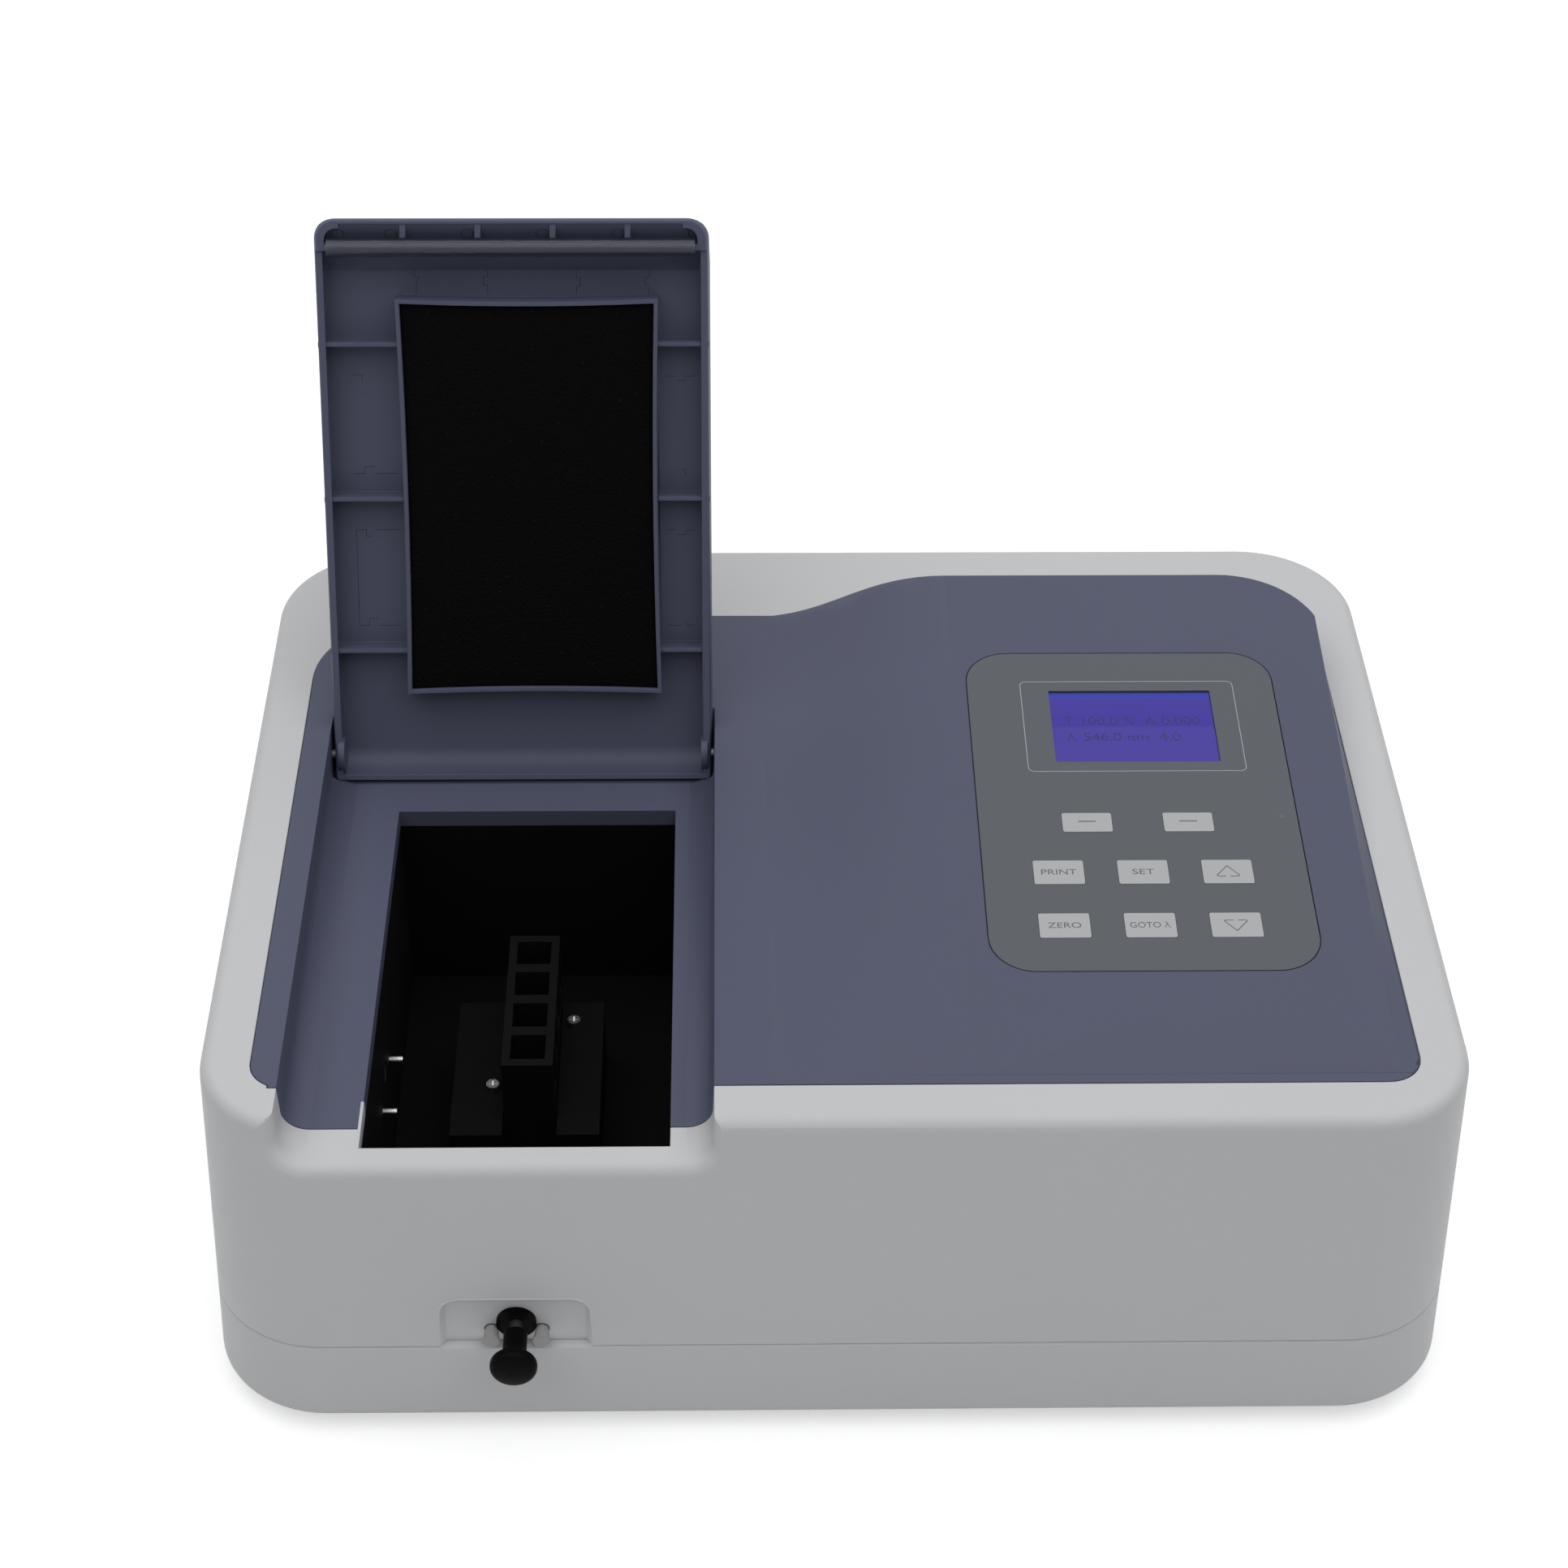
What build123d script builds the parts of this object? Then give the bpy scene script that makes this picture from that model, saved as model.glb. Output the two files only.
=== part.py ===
import os
from math import asin, atan, atan2, cos, degrees, radians, sin, tan

from build123d import *

os.makedirs("parts", exist_ok=True)

# Everything is in millimetres. X runs to the right, Y to the rear and Z up.
# The origin is on the bench, under the middle of the instrument's box.

# Housing: a drafted white cover on a shallow base tray
body_width = 428.0
body_depth = 333.0
front_corner_r = 36.0
rear_corner_r = 42.0
draft = 2.3
foot_height = 7.0
tray_height = 35.5
cover_height = 103.0
wall = 3.0
cover_edge_r = 5.0
tray_edge_r = 4.0
seam_groove = 0.8
seam_shadow = 0.3
knob_reach = 25.3

seam_z = foot_height + tray_height
rim_z = seam_z + cover_height
lean = tan(radians(draft))
foot_spread = lean * (rim_z - foot_height)
front_y = -(body_depth + foot_spread - knob_reach) / 2
rear_y = front_y + body_depth
body_mid_y = front_y + body_depth / 2

# Blue-grey top panel, let into the cover
panel_side = 17.7
panel_setback = 18.8
panel_rear_setback = 47.5
panel_width = body_width - 2 * panel_side
panel_depth = body_depth - panel_setback - panel_rear_setback
panel_front_r = 12.0
panel_rear_r = 40.0
panel_wall = 3.0
panel_gap = 0.3
panel_ledge = 7.0
panel_left = -panel_width / 2
panel_right = panel_width / 2
panel_front = front_y + panel_setback
panel_rear = panel_front + panel_depth
panel_mid_y = panel_front + panel_depth / 2

# Channel that the lid closes into, and the opening over the cells
recess_margin = 9.8
recess_width = 145.3
recess_depth = 19.3
recess_taper = 0.8
recess_cove_r = 9.0
recess_left = panel_left + recess_margin
recess_right = recess_left + recess_width
recess_mid_x = recess_left + recess_width / 2
recess_floor_z = rim_z - recess_depth
opening_width = 104.0
opening_length = 177.6
opening_setback = 9.6
opening_inset = 26.5
opening_skirt = 7.3
opening_left = recess_left + opening_inset
opening_front = front_y + opening_setback
opening_rear = opening_front + opening_length

# Raised console on the right of the panel
console_rise = 21.0
console_inset_front = 4.0
console_flank = 6.0
console_wall = 3.2
crest_front = panel_right - 7.3
crest_rear = panel_right - 4.0
wave_start = 19.4
wave_length = 71.0
console_front = panel_front + console_inset_front
console_rear = panel_rear - console_flank / 3
console_slope = degrees(atan(console_rise / (console_rear - console_front)))
console_left = recess_right + wave_start

# Lid
open_angle = 111.4
lid_gap = 0.7
lid_wall = 2.2
lid_depth = 13.5
lid_nose_depth = 14.7
lid_nose_length = 11.9
lid_nose_face = 1.6
lid_ramp = 20.0
lid_corner_r = 8.0
hinge_setback = 210.5
hinge_depth = 10.0
lid_front_setback = 7.4
lid_edge_r = 1.5
hinge_y = front_y + hinge_setback
hinge_z = rim_z - hinge_depth
lid_reach = hinge_setback - lid_front_setback
lid_width = recess_width - 2 * lid_gap
hinge_pin_r = 2.0
hinge_boss_r = 6.5
hinge_boss_length = 2.2
hinge_boss_inset = 1.9
hinge_clearance = 0.05
trough_clearance = 0.3
lid_round_r = hinge_depth
trough_r = lid_round_r + trough_clearance
stop_lean = open_angle - 90


def side_plane(frame, x):
    """A plane across the frame's X axis, drawn with Y to the right and Z up."""
    return Plane(origin=frame.origin + frame.x_dir * x, x_dir=frame.y_dir, z_dir=frame.x_dir)


def front_plane(frame, y):
    """A plane that faces the front of the frame, drawn with X to the right and Z up."""
    return Plane(origin=frame.origin + frame.y_dir * y, x_dir=frame.x_dir, z_dir=frame.y_dir * -1)


body_frame = Plane.XY
lid_frame = Plane(
    origin=(0, hinge_y, hinge_z),
    x_dir=(1, 0, 0),
    z_dir=(0, sin(radians(open_angle)), cos(radians(open_angle))),
)
console_frame = Plane(
    origin=(0, console_front, rim_z),
    x_dir=(1, 0, 0),
    z_dir=(0, -sin(radians(console_slope)), cos(radians(console_slope))),
)


def body_outline(height, inset):
    """Plan of the drafted housing at a height, set in from its outer skin."""
    grow = lean * (rim_z - height) - inset
    with BuildSketch(Plane.XY.offset(height)) as outline:
        with Locations((0, body_mid_y)):
            Rectangle(body_width + 2 * grow, body_depth + 2 * grow)
        fillet(outline.vertices().group_by(Axis.Y)[0], front_corner_r + grow)
        fillet(outline.vertices().group_by(Axis.Y)[-1], rear_corner_r + grow)
    return outline.sketch


def panel_outline(height, inset):
    """Plan of the top panel at a height, set in from its edge."""
    with BuildSketch(Plane.XY.offset(height)) as outline:
        with Locations((0, panel_mid_y)):
            Rectangle(panel_width - 2 * inset, panel_depth - 2 * inset)
        fillet(outline.vertices().group_by(Axis.Y)[0], panel_front_r - inset)
        fillet(outline.vertices().group_by(Axis.Y)[-1], panel_rear_r - inset)
    return outline.sketch


def channel_section(frame, rim, y, inset, above):
    """Front view of the lid channel: leaning sides that sweep into a flat floor."""
    half = recess_width / 2 - inset
    floor = recess_depth - inset
    sides = [
        (recess_mid_x - half, rim),
        (recess_mid_x - half + recess_taper, rim - floor),
        (recess_mid_x + half - recess_taper, rim - floor),
        (recess_mid_x + half, rim),
    ]
    if above > 0:
        sides += [(recess_mid_x + half, rim + above), (recess_mid_x - half, rim + above)]
    with BuildSketch(front_plane(frame, y)) as section:
        with BuildLine():
            Polyline(*sides, close=True)
        make_face()
        fillet(section.vertices().group_by(Axis.Y)[0], recess_cove_r - inset)
    return section.sketch


def box_between(x0, x1, y0, y1, z0, z1, mode=Mode.ADD):
    """A box given by its two corners, added to the part in hand or cut from it."""
    with Locations(((x0 + x1) / 2, (y0 + y1) / 2, (z0 + z1) / 2)):
        Box(abs(x1 - x0), abs(y1 - y0), abs(z1 - z0), mode=mode)


def rod_along(direction, x, y, z, radius, length, mode=Mode.ADD):
    """A cylinder that starts at a point and runs along one axis."""
    with Locations(Plane(origin=(x, y, z), z_dir=direction)):
        Cylinder(radius, length, align=(Align.CENTER, Align.CENTER, Align.MIN), mode=mode)


right = (1, 0, 0)
left = (-1, 0, 0)
front = (0, -1, 0)
rear = (0, 1, 0)
up = (0, 0, 1)
down = (0, 0, -1)

# Screw posts that join cover and tray, one in each corner
post_r = 4.5
post_inset = 7.0
screw_r = 2.0
screw_head_r = 3.6
screw_head_height = 2.4
screw_length = 16.0
post_bottom_z = seam_z - 4.0
boss_r = 7.0
diagonal = cos(radians(45))
front_post_x = body_width / 2 - front_corner_r + (front_corner_r - wall - post_inset) * diagonal
front_post_y = front_y + front_corner_r - (front_corner_r - wall - post_inset) * diagonal
rear_post_x = body_width / 2 - rear_corner_r + (rear_corner_r - wall - post_inset) * diagonal
rear_post_y = rear_y - rear_corner_r + (rear_corner_r - wall - post_inset) * diagonal
post_places = [
    (-front_post_x, front_post_y),
    (front_post_x, front_post_y),
    (-rear_post_x, rear_post_y),
    (rear_post_x, rear_post_y),
]

# Pull rod, its pocket in the cover and the two plugs beside it
rod_x = opening_left + 50.0
rod_z = rim_z - 93.0
rod_r = 2.25
rod_clearance = 0.05
pocket_left = rod_x - 24.4
pocket_right = rod_x + 24.0
pocket_top_z = rim_z - 81.5
pocket_depth = 3.0
pocket_corner_r = 5.0
pocket_draft = 35
pocket_pad = 3.0
pocket_face_y = front_y - lean * cover_height + pocket_depth
bush_r = 6.95
bush_stem_r = 4.5
bush_flange = 1.6
plug_spread = 8.7
plug_drop = 4.0
plug_stem_r = 1.8

# Rear window with its metal plate
window_left = 54.0 - body_width / 2
window_right = window_left + 220.0
window_bottom_z = seam_z + 5.0
window_top_z = window_bottom_z + 62.0
window_pad = 10.0
window_face_y = rear_y - 4.0
plate_thickness = 2.0
plate_margin = 8.0
plate_left = window_left - plate_margin
plate_right = window_right + plate_margin
plate_bottom_z = window_bottom_z - 4.0
plate_top_z = window_top_z + plate_margin
plate_inner_y = window_face_y - plate_thickness
plate_screw_bite = 2.0
small_screw_r = 1.5
small_head_r = 2.35
small_head_height = 2.2
plate_screws_at = [
    (plate_left + 4, plate_bottom_z + 2.4),
    (plate_right - 4, plate_bottom_z + 2.4),
    (plate_left + 4, plate_top_z - 4),
    (plate_right - 4, plate_top_z - 4),
]


def cover_cavity():
    """Inside of the cover, with the wall under the front of the lid channel left standing."""
    with BuildPart() as cavity:
        extrude(body_outline(seam_z - 1, wall), amount=cover_height + 1 - wall, taper=draft)
        extrude(
            channel_section(body_frame, rim_z, panel_front + 30, -wall, 2),
            amount=panel_setback + 42,
            mode=Mode.SUBTRACT,
        )
    return cavity.part


with BuildPart() as upper_cover:
    extrude(body_outline(seam_z, 0), amount=cover_height, taper=draft)
    chamfer(upper_cover.edges().group_by(Axis.Z)[0], seam_shadow)
    extrude(
        channel_section(body_frame, rim_z, panel_front + 1, 0, 2),
        amount=panel_setback + 12,
        mode=Mode.SUBTRACT,
    )
    rim_edges = []
    for edge in upper_cover.edges():
        spot = edge.center()
        at_rim = abs(spot.Z - rim_z) < 0.01
        outside = abs(spot.X) > body_width / 2 - 15 or spot.Y > front_y + 200
        in_front = recess_floor_z - 1 < spot.Z < rim_z + 0.1 and spot.Y < front_y + 2.5
        if in_front or (at_rim and outside):
            rim_edges.append(edge)
    fillet(rim_edges, cover_edge_r)
    add(cover_cavity(), mode=Mode.SUBTRACT)
    # Ledge for the top panel, then the pocket its plate drops into
    extrude(panel_outline(rim_z - panel_wall, -wall), amount=-panel_wall)
    extrude(
        channel_section(body_frame, rim_z, panel_front + 1, 0, 2),
        amount=2 * panel_wall,
        mode=Mode.SUBTRACT,
    )
    extrude(panel_outline(rim_z - panel_wall, -panel_gap), amount=panel_wall + 1, mode=Mode.SUBTRACT)
    extrude(panel_outline(rim_z - 3 * panel_wall, panel_ledge), amount=4 * panel_wall, mode=Mode.SUBTRACT)
    # Way through for the lid channel of the panel
    extrude(
        channel_section(body_frame, rim_z, hinge_y + 40, -panel_wall - panel_gap, 2),
        amount=hinge_y + 40 - panel_front + panel_gap,
        mode=Mode.SUBTRACT,
    )
    # Opening over the cells, cut through the lip of the channel
    box_between(
        opening_left,
        opening_left + opening_width,
        opening_front,
        opening_rear,
        recess_floor_z - 2 * wall,
        recess_floor_z + 2,
        Mode.SUBTRACT,
    )
    # Screw posts
    with BuildSketch(Plane.XY.offset(post_bottom_z)):
        with Locations(*post_places):
            Circle(post_r)
    extrude(amount=rim_z - panel_wall - post_bottom_z)
    with BuildSketch(Plane.XY.offset(post_bottom_z)):
        with Locations(*post_places):
            Circle(screw_r)
    extrude(amount=screw_length, mode=Mode.SUBTRACT)
    # Front pocket round the pull rod, with a pad behind it
    box_between(
        pocket_left - pocket_pad,
        pocket_right + pocket_pad,
        front_y - 1,
        pocket_face_y + pocket_pad,
        seam_z,
        pocket_top_z + pocket_pad,
    )
    with BuildSketch(front_plane(body_frame, pocket_face_y)) as pocket:
        with BuildLine():
            Polyline(
                (pocket_left, seam_z - 1),
                (pocket_left, pocket_top_z),
                (pocket_right, pocket_top_z),
                (pocket_right, seam_z - 1),
                close=True,
            )
        make_face()
        fillet(pocket.vertices().group_by(Axis.Y)[-1], pocket_corner_r)
    extrude(amount=20, taper=-pocket_draft, mode=Mode.SUBTRACT)
    rod_along(front, rod_x, front_y + 10, rod_z, bush_stem_r, 20, Mode.SUBTRACT)
    for side in (-1, 1):
        rod_along(front, rod_x + side * plug_spread, front_y + 10, rod_z - plug_drop, plug_stem_r, 20, Mode.SUBTRACT)
    # Rear window with a flat frame inside for the metal plate
    box_between(
        window_left - window_pad,
        window_right + window_pad,
        window_face_y,
        rear_y + 1,
        window_bottom_z - 5,
        window_top_z + window_pad,
    )
    box_between(
        window_left,
        window_right,
        rear_y - 20,
        rear_y + 20,
        window_bottom_z,
        window_top_z,
        Mode.SUBTRACT,
    )
    for screw_x, screw_z in plate_screws_at:
        rod_along(rear, screw_x, plate_inner_y, screw_z, small_screw_r, plate_thickness + plate_screw_bite, Mode.SUBTRACT)
upper_cover.part.label = "upper_cover"
export_step(upper_cover.part, "parts/upper_cover.step")

# Tray floor, locating lip and the pillars under the optical base
floor_z = foot_height + wall
lip_gap = 0.3
lip_wall = 1.6
lip_height = 3.0
head_seat_z = post_bottom_z - 6.0
head_clearance = 0.4
shank_clearance = 0.25
foot_r = 12.0
foot_stem_r = 3.0
foot_stem_height = 5.0
foot_edge_r = 1.2
foot_inset = 49.0
foot_x = body_width / 2 - foot_inset
foot_places = [
    (-foot_x, front_y + 45),
    (foot_x, front_y + 45),
    (-foot_x, rear_y - 45),
    (foot_x, rear_y - 45),
]
base_z = foot_height + 27.0
base_thickness = 6.0
base_top_z = base_z + base_thickness
base_left = 9.0 - body_width / 2
base_right = base_left + 315.0
base_front = front_y + 48.0
base_rear = opening_rear + 92.8
pillar_r = 6.0
pillar_inset = 13.0
pillar_places = [
    (base_left + pillar_inset, base_front + pillar_inset),
    (base_right - pillar_inset, base_front + pillar_inset),
    (base_left + pillar_inset, base_rear - pillar_inset),
    (base_right - pillar_inset, base_rear - pillar_inset),
]
supply_left = base_right + 2.0
supply_width = 76.0
supply_front = rear_y - 155.0
supply_length = 118.0
supply_height = 44.0
board_left = base_right - 4.0
board_width = 84.0
board_front = front_y + 34.0
board_length = 122.0
standoff_height = 8.0
standoff_r = 3.5
standoff_inset = 6.0
slot_width = 3.0
slot_length = 44.0
slot_pitch = 9.0


def corners(x0, x1, y0, y1, inset):
    """The four places set in from the corners of a rectangle."""
    return [
        (x0 + inset, y0 + inset),
        (x1 - inset, y0 + inset),
        (x0 + inset, y1 - inset),
        (x1 - inset, y1 - inset),
    ]


supply_corners = corners(
    supply_left, supply_left + supply_width, supply_front, supply_front + supply_length, standoff_inset
)
board_corners = corners(
    board_left, board_left + board_width, board_front, board_front + board_length, standoff_inset
)

with BuildPart() as base_tray:
    extrude(body_outline(foot_height, 0), amount=tray_height, taper=draft)
    fillet(base_tray.edges().group_by(Axis.Z)[0], tray_edge_r)
    chamfer(base_tray.edges().group_by(Axis.Z)[-1], seam_groove)
    extrude(body_outline(floor_z, wall), amount=tray_height, taper=draft, mode=Mode.SUBTRACT)
    # Lip that locates the cover
    extrude(body_outline(seam_z - lip_height, wall - 1), amount=lip_height)
    extrude(body_outline(seam_z, wall + lip_gap), amount=lip_height, taper=draft)
    extrude(
        body_outline(seam_z - lip_height - 1, wall + lip_gap + lip_wall),
        amount=2 * lip_height + 2,
        mode=Mode.SUBTRACT,
    )
    box_between(
        pocket_left - pocket_pad - 1,
        pocket_right + pocket_pad + 1,
        front_y - 20,
        front_y + 20,
        seam_z,
        seam_z + 10,
        Mode.SUBTRACT,
    )
    box_between(
        window_left - window_pad - 1,
        window_right + window_pad + 1,
        rear_y - 20,
        rear_y + 20,
        seam_z,
        seam_z + 10,
        Mode.SUBTRACT,
    )
    # Bosses for the cover screws
    with BuildSketch(Plane.XY.offset(floor_z - 1)):
        with Locations(*post_places):
            Circle(boss_r)
    extrude(amount=post_bottom_z - floor_z + 1)
    with BuildSketch(Plane.XY.offset(foot_height - 1)):
        with Locations(*post_places):
            Circle(screw_head_r + head_clearance)
    extrude(amount=head_seat_z - foot_height + 1, mode=Mode.SUBTRACT)
    with BuildSketch(Plane.XY.offset(head_seat_z - 1)):
        with Locations(*post_places):
            Circle(screw_r + shank_clearance)
    extrude(amount=20, mode=Mode.SUBTRACT)
    # Pillars for the optical base and standoffs for the supply and the main board
    with BuildSketch(Plane.XY.offset(floor_z - 1)):
        with Locations(*pillar_places):
            Circle(pillar_r)
    extrude(amount=base_z - floor_z + 1)
    with BuildSketch(Plane.XY.offset(base_z - screw_length)):
        with Locations(*pillar_places):
            Circle(screw_r)
    extrude(amount=screw_length + 1, mode=Mode.SUBTRACT)
    with BuildSketch(Plane.XY.offset(floor_z - 1)):
        with Locations(*supply_corners, *board_corners):
            Circle(standoff_r)
    extrude(amount=standoff_height + 1)
    # Holes for the stems of the feet, and cooling slots under the supply
    with BuildSketch(Plane.XY.offset(foot_height - 1)):
        with Locations(*foot_places):
            Circle(foot_stem_r)
    extrude(amount=wall + 2, mode=Mode.SUBTRACT)
    with BuildSketch(Plane.XY.offset(foot_height - 1)):
        with Locations((supply_left + supply_width / 2, supply_front + 40)):
            with GridLocations(slot_pitch, 1, 6, 1):
                SlotOverall(slot_length, slot_width, rotation=90)
    extrude(amount=wall + 2, mode=Mode.SUBTRACT)
base_tray.part.label = "base_tray"
export_step(base_tray.part, "parts/base_tray.step")

with BuildPart() as rubber_feet:
    with BuildSketch(Plane.XY):
        with Locations(*foot_places):
            Circle(foot_r)
    extrude(amount=foot_height)
    fillet(rubber_feet.edges().group_by(Axis.Z)[0], foot_edge_r)
    with BuildSketch(Plane.XY.offset(foot_height)):
        with Locations(*foot_places):
            Circle(foot_stem_r)
    extrude(amount=foot_stem_height)
rubber_feet.part.label = "rubber_feet"
export_step(rubber_feet.part, "parts/rubber_feet.step")

with BuildPart() as machine_screws:
    with BuildSketch(Plane.XY.offset(head_seat_z)):
        with Locations(*post_places):
            Circle(screw_r)
    extrude(amount=screw_length)
    with BuildSketch(Plane.XY.offset(head_seat_z)):
        with Locations(*post_places):
            Circle(screw_head_r)
    extrude(amount=-screw_head_height)
    with BuildSketch(Plane.XY.offset(base_top_z)):
        with Locations(*pillar_places):
            Circle(screw_r)
    extrude(amount=-screw_length)
    with BuildSketch(Plane.XY.offset(base_top_z)):
        with Locations(*pillar_places):
            Circle(screw_head_r)
    extrude(amount=screw_head_height)
    for cross_places, cross_z in [(post_places, head_seat_z - screw_head_height + 1.2), (pillar_places, base_top_z + screw_head_height)]:
        with BuildSketch(Plane.XY.offset(cross_z)):
            with Locations(*cross_places):
                Rectangle(screw_r * 2, 0.8)
                Rectangle(0.8, screw_r * 2)
        extrude(amount=-1.2, mode=Mode.SUBTRACT)
machine_screws.part.label = "machine_screws"
export_step(machine_screws.part, "parts/machine_screws.step")

# Keypad, laid out on the sloping top of the console
overlay_left = panel_right - 141.8
overlay_width = 115.7
overlay_start = 47.5
overlay_length = 166.7
overlay_corner_r = 16.0
overlay_thickness = 1.4
overlay_gap = 0.4
overlay_mid_x = overlay_left + overlay_width / 2
overlay_mid_y = overlay_start + overlay_length / 2
lcd_width = 61.0
lcd_height = 39.3
lcd_mid_x = overlay_mid_x + 3.15
lcd_mid_y = overlay_start + overlay_length - 41.1
key_width = 18.0
key_height = 11.8
soft_key_height = 9.7
column_pitch = 30.15
row_pitch = 26.4
key_mid_x = overlay_mid_x - 0.75
lower_row_y = overlay_start + 21.7
upper_row_y = lower_row_y + row_pitch
soft_row_y = upper_row_y + 25.5
soft_left_x = key_mid_x - 17.9
soft_right_x = key_mid_x + 18.8
key_corner_r = 0.8
key_gap = 0.15
key_proud = 0.15
key_flange = 1.4
key_flange_thickness = 1.4
key_travel = 0.25
dome_gap = 0.3
dome_height = 1.1
dome_r = 4.5
keypad_board_thickness = 1.6
keypad_board_margin = 9.0
keys = [
    ("key_soft_left", soft_left_x, soft_row_y, soft_key_height),
    ("key_soft_right", soft_right_x, soft_row_y, soft_key_height),
    ("key_upper_left", key_mid_x - column_pitch, upper_row_y, key_height),
    ("key_upper_middle", key_mid_x, upper_row_y, key_height),
    ("key_upper_right", key_mid_x + column_pitch, upper_row_y, key_height),
    ("key_lower_left", key_mid_x - column_pitch, lower_row_y, key_height),
    ("key_lower_middle", key_mid_x, lower_row_y, key_height),
    ("key_lower_right", key_mid_x + column_pitch, lower_row_y, key_height),
]
key_bottom = -console_wall - key_flange_thickness
dome_top = key_bottom - dome_gap
keypad_board_top = dome_top - dome_height
board_post_r = 3.0
keypad_board_left = key_mid_x - column_pitch - key_width / 2 - keypad_board_margin
keypad_board_right = key_mid_x + column_pitch + key_width / 2 + keypad_board_margin
keypad_board_front = lower_row_y - key_height / 2 - keypad_board_margin
keypad_board_rear = soft_row_y + soft_key_height / 2 + keypad_board_margin
keypad_posts = corners(keypad_board_left, keypad_board_right, keypad_board_front, keypad_board_rear, 4.0)
window_glass = 1.0
screen_margin = 3.0
screen_thickness = 1.2
screen_clearance = 0.15
lcd_board_width = 88.0
lcd_board_height = 64.0
lcd_board_thickness = 7.0


def rise_at(y):
    """How far the console stands above the rim at a place along it."""
    return console_rise * (y - console_front) / (console_rear - console_front)


def console_section(y, inset, bottom):
    """Front view of the console: a wave on the left, a flat top and a short flank."""
    rise = rise_at(y) + 0.05
    share = (y - console_front) / (console_rear - console_front)
    crest = crest_front + (crest_rear - crest_front) * share - inset
    base = rim_z - inset
    with BuildSketch(front_plane(body_frame, y)) as section:
        with BuildLine():
            Bezier(
                (console_left, base),
                (console_left + 0.4 * wave_length, base + 0.12 * rise),
                (console_left + 0.55 * wave_length, base + rise),
                (console_left + wave_length, base + rise),
            )
            Polyline(
                (console_left + wave_length, base + rise),
                (crest, base + rise),
                (panel_right, base),
                (panel_right, bottom),
                (console_left, bottom),
                (console_left, base),
            )
        make_face()
    return section.sketch


def console_body(front_edge, rear_edge, inset, plan_inset, bottom):
    """The console between two places, kept inside the plan of the panel."""
    with BuildPart() as body:
        loft(
            sections=[
                console_section(front_edge, inset, bottom),
                console_section(rear_edge, inset, bottom),
            ],
            ruled=True,
        )
        lean_in = degrees(atan(console_flank / 3 / console_rise))
        extrude(
            panel_outline(bottom - 1, plan_inset),
            amount=console_rise + rim_z - bottom + 5,
            taper=lean_in,
            mode=Mode.INTERSECT,
        )
    return body.part


def raised(frame, height):
    """A plane parallel to a frame's own, at a height above it."""
    return Plane(origin=frame.origin + frame.z_dir * height, x_dir=frame.x_dir, z_dir=frame.z_dir)


def on_console(depth):
    """A plane parallel to the top of the console, at a depth below it."""
    return raised(console_frame, -depth)


block_half = recess_width / 2 + panel_wall
trough_bottom_z = hinge_z - trough_r - panel_wall

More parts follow.
